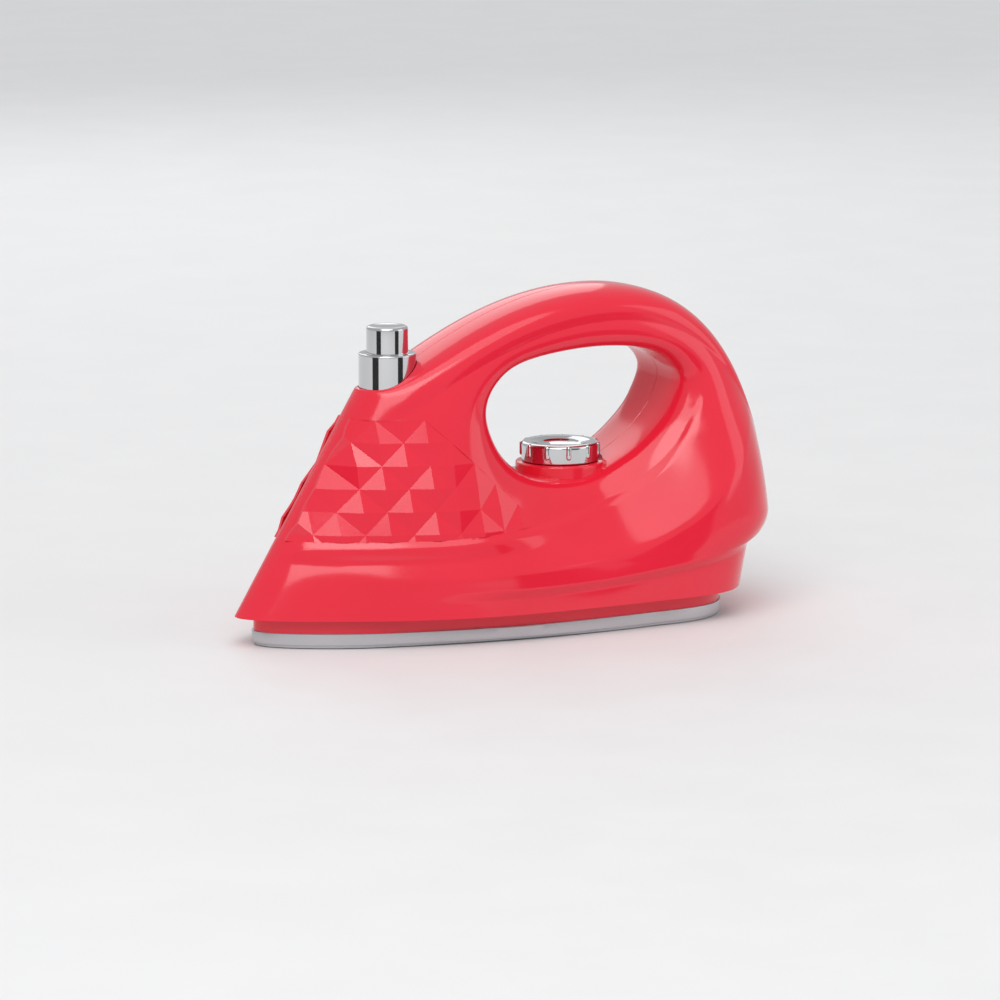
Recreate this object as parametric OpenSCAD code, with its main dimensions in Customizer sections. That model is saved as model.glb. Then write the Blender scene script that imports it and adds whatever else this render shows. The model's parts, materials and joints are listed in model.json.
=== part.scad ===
// Toy steam iron: a moulded body in two halves with an arched handle, a push button on a collar,
// a rotary dial with a click, a vibration motor, a battery bay and a stepped soleplate.
// Millimetres. X runs from nose to rear, Z is up, Z = 0 is the table and Y = 0 is the seam.

/* [Body] */
// Length from the nose tip to the rear bulge
body_l = 200; // [194:1:208]
// Height of the handle's top above the table
body_h = 116.5; // [114:0.5:120]
// Height of the skirt's lower edge above the table
sole_h = 10; // [9:0.5:12]
// Height of the nose's upper corner above the table
nose_h = 85.5; // [84:0.5:87]
// How far the nose leans back over its height
nose_back = 46; // [44:1:48]
// Half width that the belly tends to
belly_w = 48; // [46:0.5:54]
// Half width that the skirt tends to
skirt_w = 43; // [41:0.5:48]
// Half width that the handle's grip tends to
grip_w = 18.5; // [17:0.5:21]
// Half width that the rolled lip of the opening tends to
lip_w = 20; // [18.5:0.5:22]
// Wall thickness of the moulded halves
wall = 2.2; // [1.8:0.1:2.6]

/* [Diamond panel] */
// Width of one diamond
gem_w = 15.5; // [13:0.5:18]
// Height of one diamond
gem_h = 15.2; // [13:0.2:17]
// How far the points of the diamonds stand above their edges
gem_rise = 1; // [0.6:0.1:1.4]

/* [Dial] */
// Diameter of the dial
dial_d = 28.4; // [26:0.2:31]
// Height of the dial
dial_h = 6.6; // [6:0.1:8]
// Position of the dial behind the middle of the body
dial_x = 24; // [22:0.5:26]
// Number of grips round the dial
dial_grips = 11; // [8:1:14]
// Diameter of the dial's spindle
spindle_d = 8; // [7:0.5:9]

/* [Button] */
// Diameter of the push button
button_d = 14.4; // [13:0.2:15]
// Height of the button above the collar
button_up = 9.3; // [8:0.1:11]
// Travel of the button
button_travel = 4; // [3:0.5:4.5]
// Outer diameter of the collar
collar_d = 19.8; // [18.6:0.2:20.4]
// Height of the collar's rim above the nose's upper corner
collar_up = 11.9; // [10:0.1:13]

/* [Base] */
// Thickness of the soleplate
sole_t = 5; // [4:0.5:6]
// How far the soleplate stays inside the skirt
sole_in = 7; // [6:0.5:9]
// Thickness of the pan's floor
pan_t = 2.4; // [2:0.1:3]
// Thickness of the battery door
door_t = 2; // [1.8:0.1:2.4]

/* [Power] */
// Diameter of one cell
cell_d = 14.2; // [13.8:0.1:14.5]
// Length of one cell with its button
cell_l = 50; // [49:0.5:50.5]
// Width of the motor across its round sides
motor_d = 20; // [18:0.5:21]
// Height of the motor across its flats
motor_flat = 15.4; // [14:0.2:16]
// Length of the motor's can
motor_l = 22; // [18:0.5:24]
// Diameter of an internal lead
lead_d = 1.6; // [1.2:0.1:2]

/* [Fasteners] */
// Shank diameter of the screws
screw_d = 2.6; // [2.2:0.1:3]
// Head diameter of the screws
head_d = 5; // [4.6:0.1:5.6]
// Running clearance between turning or sliding pieces and their bores
run = 0.08; // [0.06:0.01:0.1]
// Clearance between pieces that are put together
gap = 0.2; // [0.1:0.05:0.3]

/* [Output] */
// Piece to draw

/* [Hidden] */
$fn = 48;

red = [0.86, 0.08, 0.13];
chrome = [0.85, 0.86, 0.88];
silver = [0.62, 0.63, 0.66];
steel = [0.70, 0.71, 0.73];
dark = [0.13, 0.13, 0.14];
brass = [0.80, 0.66, 0.32];

// Shares of the drawn length and height
kx = body_l / 200;
kz = (body_h - sole_h) / 106.5;

// Side outline of the body
nose_x = -body_l / 2;
tail_x = body_l / 2;
skirt_x = tail_x - 10;
skirt_end = skirt_x - 1.5;
lean = nose_back / (nose_h - sole_h);
nose_low = [nose_x, sole_h];
nose_top = [nose_x + nose_back, nose_h];
apex = [tail_x - 64 * kx, body_h];
bulge = [tail_x, sole_h + 26 * kz];
open_c = [dial_x + 1, sole_h + 64 * kz];
open_x = open_c[0] - 37 * kx;
open_z = open_c[1] - 22.5 * kz;
collar_x = nose_top[0] + 11.4;
shift = 1.9 * wall / 2.2;
inset = 1.45 * wall;

// Flowing edges of the side: [start height, length, square rise, steep rise, steepness]
edge1 = [sole_h + 25 * kz, 105 * kx, 15 * kz, 12 * kz, 8];
edge2 = [sole_h + 19 * kz, 105 * kx, 15 * kz, 12 * kz, 8];
edge3 = [sole_h + 13 * kz, 125 * kx, 10 * kz, 22 * kz, 6];
edge4 = [sole_h + 7.5 * kz, 140 * kx, 0, 11 * kz, 3];
edge4a = edge4 + [1.5, 0, 0, 0, 0];
edge4b = edge4 - [2.5, 0, 0, 0, 0];

function mix(a, b, t) = a + (b - a) * t;
function clip(t) = min(1, max(0, t));
function soft(t) = let(c = clip(t)) c * c * (3 - 2 * c);
function bez(a, b, c, d, t) = pow(1 - t, 3) * a + 3 * pow(1 - t, 2) * t * b
    + 3 * (1 - t) * t * t * c + t * t * t * d;
function spline(a, b, c, d, t) = 0.5 * (2 * b + (c - a) * t + (2 * a - 5 * b + 4 * c - d) * t * t
    + (3 * b - a - 3 * c + d) * t * t * t);
function along(x, e) = max(0, (x - nose_x - 53 * kx) / e[1]);
function edge_z(x, e) = let(u = along(x, e)) e[0] + e[2] * u * u + e[3] * pow(u, e[4]);
function edge_slope(x, e) = let(u = along(x, e))
    (2 * e[2] * u + e[3] * e[4] * pow(u, e[4] - 1)) / e[1];
function off_edge(x, z, e) = (z - edge_z(x, e)) / sqrt(1 + pow(edge_slope(x, e), 2));

function arch_front(t) = bez(nose_top, nose_top + [15 * kx, 0.5], apex - [46 * kx, 0], apex, t);
function arch_rear(t) = bez(apex, apex + [46 * kx, 0], bulge + [-3, 41 * kz], bulge, t);
skirt_top = [skirt_x + 1.5, edge_z(skirt_x, edge4) - 3];
function tuck(t) = bez(bulge, bulge - [0, 5], [tail_x - 6, edge_z(tail_x - 6, edge4) - 2.5],
    skirt_top, t);

n_nose = 10;
n_front = 14;
n_rear = 18;
n_tuck = 6;
n_skirt = 4;
n_base = 26;
corner = n_nose + n_front + n_rear + n_tuck + n_skirt;
function swing(s) = (1 - cos(180 * s)) / 2;
function base_run(a, b) = [for (k = [0:n_base - 1]) [mix(b, a, swing(k / n_base)), sole_h]];
side = concat(
    [for (k = [0:n_nose - 1]) mix(nose_low, nose_top, k / n_nose)],
    [for (k = [0:n_front - 1]) arch_front(k / n_front)],
    [for (k = [0:n_rear - 1]) arch_rear(k / n_rear)],
    [for (k = [0:n_tuck - 1]) tuck(k / n_tuck)],
    [for (k = [0:n_skirt - 1]) mix(skirt_top, [skirt_end, sole_h], k / n_skirt)]);
n_cols = len(side) + n_base;
ring_out = concat(side, base_run(nose_x, skirt_end));
// The nose is moulded thicker behind the diamond panel
thick = 2.2;
function inset_at(k) = inset * mix(thick, 1, soft((k - n_nose + 1) / 4));
ring_in = concat([[nose_x + thick * inset, sole_h]],
    [for (k = [1:len(side) - 1]) side[k] - inset_at(k) * (side[k] - open_c) / norm(side[k] - open_c)],
    base_run(nose_x + thick * inset, skirt_end - inset));

// Height of the arch over x, and rear edge over z
top_table = concat([[nose_top[0] - 5, nose_top[1] - 0.2]], [for (k = [0:24]) arch_front(k / 24)],
    [for (k = [1:40]) arch_rear(k / 40)]);
rear_table = concat([for (k = [12:-1:1]) let(p = tuck(k / 12)) [p[1], p[0]]],
    [for (k = [0:40]) let(p = arch_rear(1 - k / 40)) [p[1], p[0]]]);
function top_z(x) = lookup(x, top_table);
function rear_x(z) = lookup(z, rear_table);

// Throat of the hand opening, as it crosses the seam
throat = [for (p = [[-37, 1], [-33, 12], [-21, 19], [5, 22], [27, 19.5], [37, 11], [34, 0],
    [27, -8.5], [16, -16.5], [0, -22.5], [-19, -21], [-31, -13]]) open_c + [p[0] * kx, p[1] * kz]];
function turn(p) = 180 - atan2(p[1] - open_c[1], p[0] - open_c[0]);
function reach(p) = norm(p - open_c);
throat_fine = [for (i = [0:11]) for (k = [0:5]) spline(throat[(i + 11) % 12], throat[i],
    throat[(i + 1) % 12], throat[(i + 2) % 12], k / 6)];
polar = [for (p = throat_fine) [turn(p), reach(p)]];
lip_table = concat([for (p = polar) p[0] > 300 ? [p[0] - 360, p[1]] : p], polar,
    [for (p = polar) p[0] < 60 ? [p[0] + 360, p[1]] : p]);
function throat_r(p) = lookup(turn(p), lip_table);

// Half width of the body at x, z; in moves every limit inwards by a wall, k times as far at the nose
function round_off(e, l) = e <= 0 ? 0.001 : 1.1 * (e < l ? sqrt(e * (2 * l - e)) : l + 0.3 * (e - l));
function blend5(v) = pow(v[0] + v[1] + v[2] + v[3] + v[4], -0.2);
function fifth(a) = pow(max(a, 0.001), -5);
function half_width(x, z, t_in, in, k = 1) = let(
    d = max(0.001, x - nose_x - (z - sole_h) * lean - k * in),
    h = (z - sole_h) / (nose_h - sole_h),
    nose = sqrt(2 * mix(6.5, 9, h) * d + pow(mix(0.42, 0.15, h) * d, 2)),
    rear = round_off(rear_x(z) - x - in, mix(46, 32, soft((z - sole_h - 30 * kz) / (75 * kz))) - in),
    t = max(0.001, top_z(x) - z - in),
    grip = (grip_w - in) * (t < 11 ? pow(1 - pow(1 - t / 11, 2.6), 1 / 2.6) : 1 + 0.03 * (t - 11)),
    lip = (lip_w - in) * pow(max(t_in, 0.001) / 4, 0.125) + 0.2 * t_in + 0.02 * t_in * t_in,
    heel = round_off(skirt_x - (sole_h + 16 - z) * 0.09 - x - in, skirt_w - in),
    body = blend5([fifth(nose), fifth(rear), fifth(grip), fifth(lip), fifth(belly_w - in)]),
    skirt = min(body, blend5([fifth(nose), fifth(heel), fifth(lip), fifth(skirt_w - in), 0])),
    over = soft((z - edge_z(x, edge4) + 2.5 - 1.2 * in) / 4))
    mix(skirt, body, over);

// Raised and sunk ribbons along the flowing edges
function near(s, w, r) = exp(-(sqrt(s * s + r * r) - r) / w);
function ribbons(x, z, t_in) = let(
    d = x - nose_x - (z - sole_h) * lean,
    s1 = off_edge(x, z, edge1),
    lid = soft((sole_h + 70 * kz - z) / (16 * kz)) * soft(t_in / 7))
    lid * (1.6 * near(off_edge(x, z, edge3), 7, 0.8) * soft((x - nose_x - 25 * kx) / (60 * kx)) * soft((rear_x(z) - x) / 20)
    + soft((0.6 - s1) / 1.2) * near(s1, 14, 0.5) * soft(d / 6)
    - 0.9 * near(off_edge(x, z, edge2), 3.5, 0.8) * soft(d / 8));

// Rays from the middle of the opening to the outline, and rows of points along them
function ray(p, w) = [(p - open_c) / reach(p), throat_r(p) + w, reach(p)];
function at(q, v) = open_c + q[0] * mix(q[1], q[2], v);
function meet(q, e, lo, hi, n) = let(m = (lo + hi) / 2, p = at(q, m))
    n == 0 ? m : p[1] > edge_z(p[0], e) ? meet(q, e, m, hi, n - 1) : meet(q, e, lo, m, n - 1);
function cross_at(q, e) = let(p = at(q, 1)) p[1] > edge_z(p[0], e) ? 1 : meet(q, e, 0, 1, 12);
function rows_out(q) = let(
    l = q[2] - q[1],
    a = max(min(cross_at(q, edge1), 0.55), 5 / l + 0.03),
    b = max(min(cross_at(q, edge2), 0.66), a + 0.04),
    c = max(min(cross_at(q, edge3), 0.8), b + 0.06),
    e = max(min(cross_at(q, edge4a), 0.95), c + 0.04),
    f = max(min(cross_at(q, edge4b), 0.98), e + 0.01))
    [0, 0.1 / l, 0.6 / l, 2 / l, 5 / l, mix(5 / l, a, 0.35), mix(5 / l, a, 0.7), a, b, (b + c) / 2, c, (c + e) / 2, e, f,
    mix(f, 1, 0.4), mix(f, 1, 0.8), 1];
function rows_in(q) = let(
    l = q[2] - q[1],
    b = max(min(cross_at(q, edge2), 0.6), 6 / l + 0.05),
    e = max(min(cross_at(q, edge4a), 0.92), b + 0.1),
    f = max(min(cross_at(q, edge4b), 0.97), e + 0.02))
    [0, 0.3 / l, 2 / l, 6 / l, b, (b + e) / 2, e, f, mix(f, 1, 0.6), 1];
function on_seam(i, last) = last && (i <= corner);
function skin_out() = [for (i = [0:n_cols - 1]) let(q = ray(ring_out[i], 0), v = rows_out(q))
    for (j = [0:len(v) - 1]) let(p = at(q, v[j]), t = v[j] * (q[2] - q[1]))
    [p[0], j == 0 || on_seam(i, j == len(v) - 1) ? 0
    : half_width(p[0], p[1], t, 0) + ribbons(p[0], p[1], t), p[1]]];
function skin_in() = [for (i = [0:n_cols - 1]) let(q = ray(ring_in[i], inset), v = rows_in(q))
    for (j = [0:len(v) - 1]) let(p = at(q, v[j]), t = v[j] * (q[2] - q[1]))
    [p[0], j == 0 || on_seam(i, j == len(v) - 1) ? 0
    : half_width(p[0], p[1], t, shift, thick), p[1]]];
r_out = 17;
r_in = 10;
function two(a, b, c, d) = [[a, b, c], [a, c, d]];
function o_at(i, j) = (i % n_cols) * r_out + j;
function n_at(i, j) = n_cols * r_out + (i % n_cols) * r_in + j;

module moulded_skin() {
    faces = concat(
        [for (i = [0:n_cols - 1]) for (j = [0:r_out - 2])
            each two(o_at(i, j), o_at(i + 1, j), o_at(i + 1, j + 1), o_at(i, j + 1))],
        [for (i = [0:n_cols - 1]) for (j = [0:r_in - 2])
            each two(n_at(i, j), n_at(i, j + 1), n_at(i + 1, j + 1), n_at(i + 1, j))],
        [for (i = [0:n_cols - 1]) each two(o_at(i, 0), n_at(i, 0), n_at(i + 1, 0), o_at(i + 1, 0))],
        [for (i = [0:n_cols - 1])
            each two(o_at(i, r_out - 1), o_at(i + 1, r_out - 1), n_at(i + 1, r_in - 1),
                n_at(i, r_in - 1))]);
    polyhedron(concat(skin_out(), skin_in()), faces, convexity = 8);
}

// Half width at a place, and the least of it over a round foot
function y_at(x, z) = half_width(x, z, max(0.1, reach([x, z]) - throat_r([x, z])), 0);
function y_foot(x, z, r) = min(y_at(x - r, z), y_at(x + r, z), y_at(x, z - r), y_at(x, z + r));

// Screws that hold the halves: x, z
case_at = [[nose_x + 30 * kx, sole_h + 16 * kz], [(collar_x + 6 + open_x) / 2, nose_h - 14],
    [tail_x - 24 * kx, body_h - 30 * kz], [tail_x - 20 * kx, sole_h + 42 * kz],
    [dial_x - 22 * kx, body_h - 13 * kz]];
boss_d = 8;
well_d = head_d + 0.8;
well_y = 5;
pilot = 11;

// Screws that hold the base: x, y
base_at = [[nose_x + 42 * kx, 8], [tail_x - 36 * kx, 26]];
post_d = 7;
post_top = sole_h + 16;
floor_z = sole_h + pan_t;

// Dial seat, button well and switch
seat_z = sole_h + 44.9 * kz;
seat_t = seat_z - open_z + inset + 0.3;
seat_d = dial_d + 2.2;
pocket_d = dial_d + 1.2;
rim_z = nose_h + collar_up;
shelf_z = nose_h - 5.2;
cell_z = door_t + 0.4 + cell_d / 2;
cup_z = shelf_z + 0.1;
cup_t = 2;
stem_d = 5;
stem_z = cup_z - 6;
switch_h = 8;
switch_z = stem_z - 0.3 - button_travel - switch_h - 0.2;

module case_boss(p) {
    translate([p[0], 0, p[1]]) rotate([-90, 0, 0])
        cylinder(d = boss_d, h = y_foot(p[0], p[1], boss_d / 2) - 1.3);
}

module base_post(p) {
    y_wall = y_foot(p[0], floor_z + 5, 1.2) - 1;
    translate([p[0], p[1], floor_z]) cylinder(d = post_d, h = post_top - floor_z);
    translate([p[0] - 1, p[1], floor_z]) cube([2, y_wall - p[1], post_top - floor_z - 3]);
}

// Low boss below the dial
module dial_seat() {
    foot = seat_z - seat_t;
    translate([dial_x, 0, foot]) cylinder(d1 = seat_d + 1.4, d2 = seat_d + 0.4, h = seat_t - 0.4);
    translate([dial_x, 0, seat_z - 0.5]) cylinder(d1 = seat_d + 0.4, d2 = seat_d - 0.6, h = 0.5);
}

// Faceted diamond panel on the side of the nose: points stand out, edges lie in the surface
gem_sunk = 0.15;
gem_x = nose_x + 16.4;
gem_top = nose_h - 9.3;
gem_z = gem_top - 3 * gem_h;
gem_tip = gem_x + 5.35 * gem_w;
function nose_line(z) = nose_x + (z - sole_h) * lean;
function gem_face(k, m) = let(x = gem_x + k * gem_w / 2, z = gem_z + m * gem_h / 2, l = nose_line(z))
    [x, y_at(max(x, l + 2), z) - gem_sunk + ((k + m) % 2 == 0 ? 0 : gem_rise * clip((x - l) / 9)), z];
function gem_net(y) = [for (k = [0:11]) for (m = [0:6]) gem_face(k, m) + [0, y, 0]];
function gem_i(k, m) = 7 * k + m;
module gem_field(low, high) {
    f = [for (k = [0:10]) for (m = [0:5]) let(a = gem_i(k, m), b = gem_i(k + 1, m), c = gem_i(k + 1, m + 1),
        d = gem_i(k, m + 1)) each (k + m) % 2 == 0 ? [[a, c, b], [a, d, c]] : [[a, d, b], [b, d, c]]];
    edge = concat([for (k = [0:10]) [gem_i(k, 0), gem_i(k + 1, 0)]],
        [for (m = [0:5]) [gem_i(11, m), gem_i(11, m + 1)]],
        [for (k = [11:-1:1]) [gem_i(k, 6), gem_i(k - 1, 6)]],
        [for (m = [6:-1:1]) [gem_i(0, m), gem_i(0, m - 1)]]);
    polyhedron(concat(gem_net(low), gem_net(high)), concat(f,
        [for (t = f) [t[0] + 84, t[2] + 84, t[1] + 84]],
        [for (e = edge) each two(e[0], e[1], e[1] + 84, e[0] + 84)]), convexity = 6);
}
// Part of the panel between two levels, inside its outline moved out by grow
module gem_part(low, high, grow) {
    z_tip = gem_top - (gem_tip - gem_x - 3 * gem_w) * gem_h / gem_w;
    rim = [for (x = [gem_tip + grow:-8:nose_x + 19 * kx]) [x, edge_z(x, edge1) + 1 - grow]];
    intersection() {
        gem_field(low, high);
        translate([0, 60, 0]) rotate([90, 0, 0]) linear_extrude(60) polygon(concat(
            [[nose_line(gem_top) + 2.5 - grow, gem_top - 0.1 + grow],
            [gem_x + 3 * gem_w + grow, gem_top - 0.1 + grow], [gem_tip + grow, z_tip + grow]], rim));
    }
}

module shell_body() {
    difference() {
        union() {
            difference() {
                moulded_skin();
                gem_part(-0.5, 6, 0);
            }
            gem_part(-1.5, 0, 0.06);
            for (p = case_at) case_boss(p);
            for (p = base_at) base_post(p);
            intersection() {
                dial_seat();
                translate([-body_l, 0, 0]) cube([2 * body_l, belly_w, 2 * body_h]);
            }
            translate([collar_x - 6, 5.6, shelf_z - 2.4])
                cube([12, y_at(collar_x - 6, shelf_z - 1) - 0.9 - 5.6, 2.4]);
        }
        translate([dial_x, 0, seat_z]) cylinder(d = pocket_d, h = 12);
        translate([dial_x, 0, seat_z - 20]) cylinder(d = spindle_d + 2 * run, h = 30);
        translate([collar_x, 0, cup_z - 0.05]) cylinder(d = collar_d + 2 + 2 * gap, h = cup_t + 0.1);
        translate([collar_x, 0, cup_z + cup_t]) cylinder(d = collar_d + 2 * gap, h = 40);
        for (p = base_at) translate([p[0], p[1], floor_z - 1])
            cylinder(d = screw_d + 0.1, h = 13);
    }
}

module left_shell() {
    color(red) mirror([0, 1, 0]) difference() {
        union() {
            shell_body();
            translate([collar_x - 6.5, -6, switch_z - 2])
                cube([15, y_at(collar_x - 6.5, switch_z - 1) - 1.4 + 6, 2]);
            translate([dial_x + 11, 5, seat_z - seat_t - 5]) cylinder(d = 4, h = 5.5);
        }
        for (p = case_at) translate([p[0], -1, p[1]]) rotate([-90, 0, 0])
            cylinder(d = screw_d + 0.1, h = pilot + 1);
    }
}

module right_shell() {
    color(red) difference() {
        shell_body();
        for (p = case_at) {
            translate([p[0], -1, p[1]]) rotate([-90, 0, 0]) cylinder(d = screw_d + 0.4, h = 20);
            translate([p[0], well_y, p[1]]) rotate([-90, 0, 0]) cylinder(d = well_d, h = 60);
        }
    }
}

// Plan of the base at the skirt, moved inwards
function plan_side(in, k) = let(a = nose_x + k * in, b = skirt_end - in)
    [for (i = [0:30]) let(x = mix(a, b, swing(i / 30))) [x, i == 0 || i == 30 ? 0
    : half_width(x, sole_h, 99, in, k)]];
module plan(in, k = 1) {
    p = plan_side(in, k);
    polygon(concat(p, [for (k = [len(p) - 2:-1:1]) [p[k][0], -p[k][1]]]));
}

// Battery bay
bay_l = cell_l + 6.4;
bay_w = 2 * cell_d + 1.6;
bay_x = tail_x - 94;
bay_top = door_t + cell_d + 1.2;
bay_t = 1.6;
cell_y = cell_d / 2 + 0.3;
door_x0 = bay_x - bay_l / 2 - 3;
door_x1 = bay_x + bay_l / 2 + 11;
door_w = bay_w + 5;
door_screw_x = bay_x + bay_l / 2 + 6;

// Motor
motor_x = tail_x - 50;
motor_z = floor_z + 18.6;
clamp_x = motor_x + motor_l / 2;
clamp_y = motor_d / 2 + 7;

module slab(x0, x1, w, z0, z1) {
    translate([x0, -w / 2, z0]) cube([x1 - x0, w, z1 - z0]);
}

module base_pan() {
    cap_z = motor_z - motor_flat / 2;
    color(red) difference() {
        union() {
            translate([0, 0, sole_h]) linear_extrude(pan_t) plan(inset + 1.2, thick);
            translate([0, 0, sole_t]) linear_extrude(sole_h - sole_t) plan(sole_in);
            slab(bay_x - bay_l / 2 - bay_t, bay_x + bay_l / 2 + bay_t, bay_w + 2 * bay_t,
                sole_t, bay_top + bay_t);
            for (x = [motor_x + 1, motor_x + motor_l - 5]) {
                slab(x, x + 4, motor_d + 4, floor_z - 0.5, cap_z);
                for (s = [-1, 1]) translate([x, s * (motor_d / 2 + 1.1) - 0.9, floor_z - 0.5])
                    cube([4, 1.8, motor_z - floor_z + 2]);
            }
        }
        slab(bay_x - bay_l / 2, bay_x + bay_l / 2, bay_w, sole_t - 1, bay_top);
        for (p = base_at) for (s = [-1, 1]) translate([p[0], s * p[1], sole_t - 1])
            cylinder(d = screw_d + 0.3, h = 20);
        for (s = [-1, 1]) translate([clamp_x, s * clamp_y, sole_t + 1])
            cylinder(d = screw_d + 0.1, h = 20);
        translate([door_screw_x, 0, sole_t - 1]) cylinder(d = screw_d + 0.1, h = 7);
        for (s = [-1, 1]) translate([bay_x - bay_l / 2 - 3, s * cell_y, bay_top - 3.5])
            rotate([0, 90, 0]) cylinder(d = lead_d + 1, h = 4);
    }
}

vent_n = 6;
module soleplate() {
    color(silver) difference() {
        union() {
            translate([0, 0, 1]) linear_extrude(sole_t - 1) plan(sole_in - 0.6);
            linear_extrude(1.5) plan(sole_in + 0.4);
        }
        slab(bay_x - bay_l / 2, bay_x + bay_l / 2, bay_w, -1, sole_t + 1);
        slab(door_x0 - 0.3, door_x1 + 0.3, door_w + 0.6, -1, door_t + 0.1);
        for (s = [-1, 1]) translate([door_x0 - 2.2, s * 9 - 3.3, door_t - 1.1]) cube([3, 6.6, 1.2]);
        for (p = base_at) for (s = [-1, 1]) translate([p[0], s * p[1], -1]) {
            cylinder(d = screw_d + 0.3, h = 20);
            cylinder(d = head_d + 0.6, h = 3.4);
        }
        translate([door_screw_x, 0, -1]) cylinder(d = screw_d + 0.3, h = 20);
        for (k = [0:vent_n - 1]) for (s = [-1, 1]) {
            x = nose_x + 34 + 9 * k;
            translate([x, s * (half_width(x, sole_h, 99, 0) - 13), -1]) cylinder(d = 3, h = 2.2);
        }
    }
}

module battery_door() {
    color(silver) difference() {
        union() {
            slab(door_x0, door_x1, door_w, 0, door_t);
            for (s = [-1, 1]) translate([door_x0 - 1.6, s * 9 - 3, door_t - 0.9]) cube([2, 6, 0.8]);
        }
        translate([door_screw_x, 0, -1]) {
            cylinder(d = screw_d + 0.3, h = 10);
            cylinder(d = head_d + 0.4, h = 2.2);
        }
        for (k = [0:4]) translate([door_x1 - 18 - 2.4 * k, -6, -1]) cube([1.2, 12, 1.6]);
    }
}

// Pan head screw with a cross recess, tip along -Z from the head's seat at Z = 0
module screw(len, head_h = 1.8) {
    difference() {
        union() {
            cylinder(d = head_d, h = head_h - 0.5);
            translate([0, 0, head_h - 0.5]) cylinder(d1 = head_d, d2 = head_d - 1.4, h = 0.5);
            translate([0, 0, -len + 1.5]) cylinder(d = screw_d, h = len - 1);
            translate([0, 0, -len]) cylinder(d1 = 0.8, d2 = screw_d, h = 1.5);
        }
        for (a = [0, 90]) rotate(a) translate([-1.5, -0.35, head_h - 0.9]) cube([3, 0.7, 2]);
    }
}

module door_screw() {
    color(steel) translate([door_screw_x, 0, 1.2]) rotate([180, 0, 0]) screw(8.5, 1);
}

module base_screws() {
    color(steel) for (p = base_at) for (s = [-1, 1])
        translate([p[0], s * p[1], 2.4]) rotate([180, 0, 0]) screw(post_top - 6, 1.8);
}

module case_screws() {
    color(steel) for (p = case_at) translate([p[0], well_y, p[1]]) rotate([-90, 0, 0])
        screw(well_y + pilot - 1.5);
}

module clamp_screws() {
    color(steel) for (s = [-1, 1]) translate([clamp_x, s * clamp_y, floor_z + 1.5]) screw(6.5);
}

module battery_cells() {
    color(dark) for (s = [-1, 1])
        translate([bay_x + s * 2.5, s * cell_y, cell_z])
        rotate([0, s < 0 ? -90 : 90, 0]) {
            translate([0, 0, -cell_l / 2]) cylinder(d = cell_d, h = cell_l - 1.4);
            translate([0, 0, cell_l / 2 - 1.6]) cylinder(d = 5.4, h = 1.6);
        }
}

// Round wire along a path
function unit(v) = v / norm(v);
function heading(p, i) = unit(p[min(i + 1, len(p) - 1)] - p[max(i - 1, 0)]);
module wire(p, d, up, n = 6) {
    pts = [for (i = [0:len(p) - 1]) let(t = heading(p, i), u = unit(cross(up, t)), w = cross(t, u))
        for (k = [0:n - 1]) p[i] + d / 2 * (cos(360 * k / n) * u + sin(360 * k / n) * w)];
    last = (len(p) - 1) * n;
    faces = concat([[for (k = [0:n - 1]) k]], [[for (k = [n - 1:-1:0]) last + k]],
        [for (i = [0:len(p) - 2]) for (k = [0:n - 1])
            each two(i * n + k, i * n + n + k, i * n + n + (k + 1) % n, i * n + (k + 1) % n)]);
    polyhedron(pts, faces, convexity = 10);
}
function coil(r0, r1, h, turns, per = 10) = [for (k = [0:turns * per]) let(s = k / (turns * per),
    r = mix(r0, r1, s)) [r * cos(360 * k / per), r * sin(360 * k / per), h * s]];

module contact_springs() {
    x0 = bay_x - bay_l / 2 + 0.6;
    x1 = bay_x + bay_l / 2 - 0.6;
    color(steel) {
        translate([x0 + 0.45, cell_y, cell_z]) rotate([0, 90, 0])
            wire(coil(4.6, 2.6, 4.2, 3), 0.7, [0, 0, 1]);
        translate([x1 - 0.45, -cell_y, cell_z]) rotate([0, -90, 0])
            wire(coil(4.6, 2.6, 4.2, 3), 0.7, [0, 0, 1]);
    }
}

module contact_plates() {
    x0 = bay_x - bay_l / 2 + 0.05;
    x1 = bay_x + bay_l / 2 - 0.05;
    color(steel) {
        for (s = [-1, 1]) translate([x0, s * cell_y - 5.5, cell_z - 5.5]) cube([0.5, 11, 12]);
        translate([x1 - 0.5, -cell_y - 5.5, cell_z - 5.5]) cube([0.5, 2 * cell_y + 11, 11]);
    }
}

module motor_can() {
    color(steel) difference() {
        union() {
            intersection() {
                translate([motor_x, 0, motor_z]) rotate([0, 90, 0]) cylinder(d = motor_d, h = motor_l);
                slab(motor_x - 1, motor_x + motor_l + 1, motor_d + 2, motor_z - motor_flat / 2,
                    motor_z + motor_flat / 2);
            }
            translate([motor_x + motor_l - 0.1, 0, motor_z]) rotate([0, 90, 0]) cylinder(d = 6, h = 1.7);
        }
        translate([motor_x - 1, 0, motor_z]) rotate([0, 90, 0]) cylinder(d = 2 + 2 * run, h = motor_l + 4);
    }
}

module motor_end_cap() {
    color(dark) difference() {
        union() {
            intersection() {
                translate([motor_x - 4, 0, motor_z]) rotate([0, 90, 0]) cylinder(d = motor_d, h = 4);
                slab(motor_x - 5, motor_x + 1, motor_d + 2, motor_z - motor_flat / 2,
                    motor_z + motor_flat / 2);
            }
            for (s = [-1, 1]) translate([motor_x - 7, s * 6.5 - 1, motor_z - 0.25]) cube([3.2, 2, 0.5]);
        }
        translate([motor_x - 6, 0, motor_z]) rotate([0, 90, 0]) cylinder(d = 2 + 2 * run, h = 8);
    }
}

shaft_x0 = motor_x - 3.4;
shaft_x1 = motor_x + motor_l + 10;
module motor_shaft() {
    color(steel) translate([shaft_x0, 0, motor_z]) rotate([0, 90, 0]) cylinder(d = 2, h = shaft_x1 - shaft_x0);
}

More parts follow.
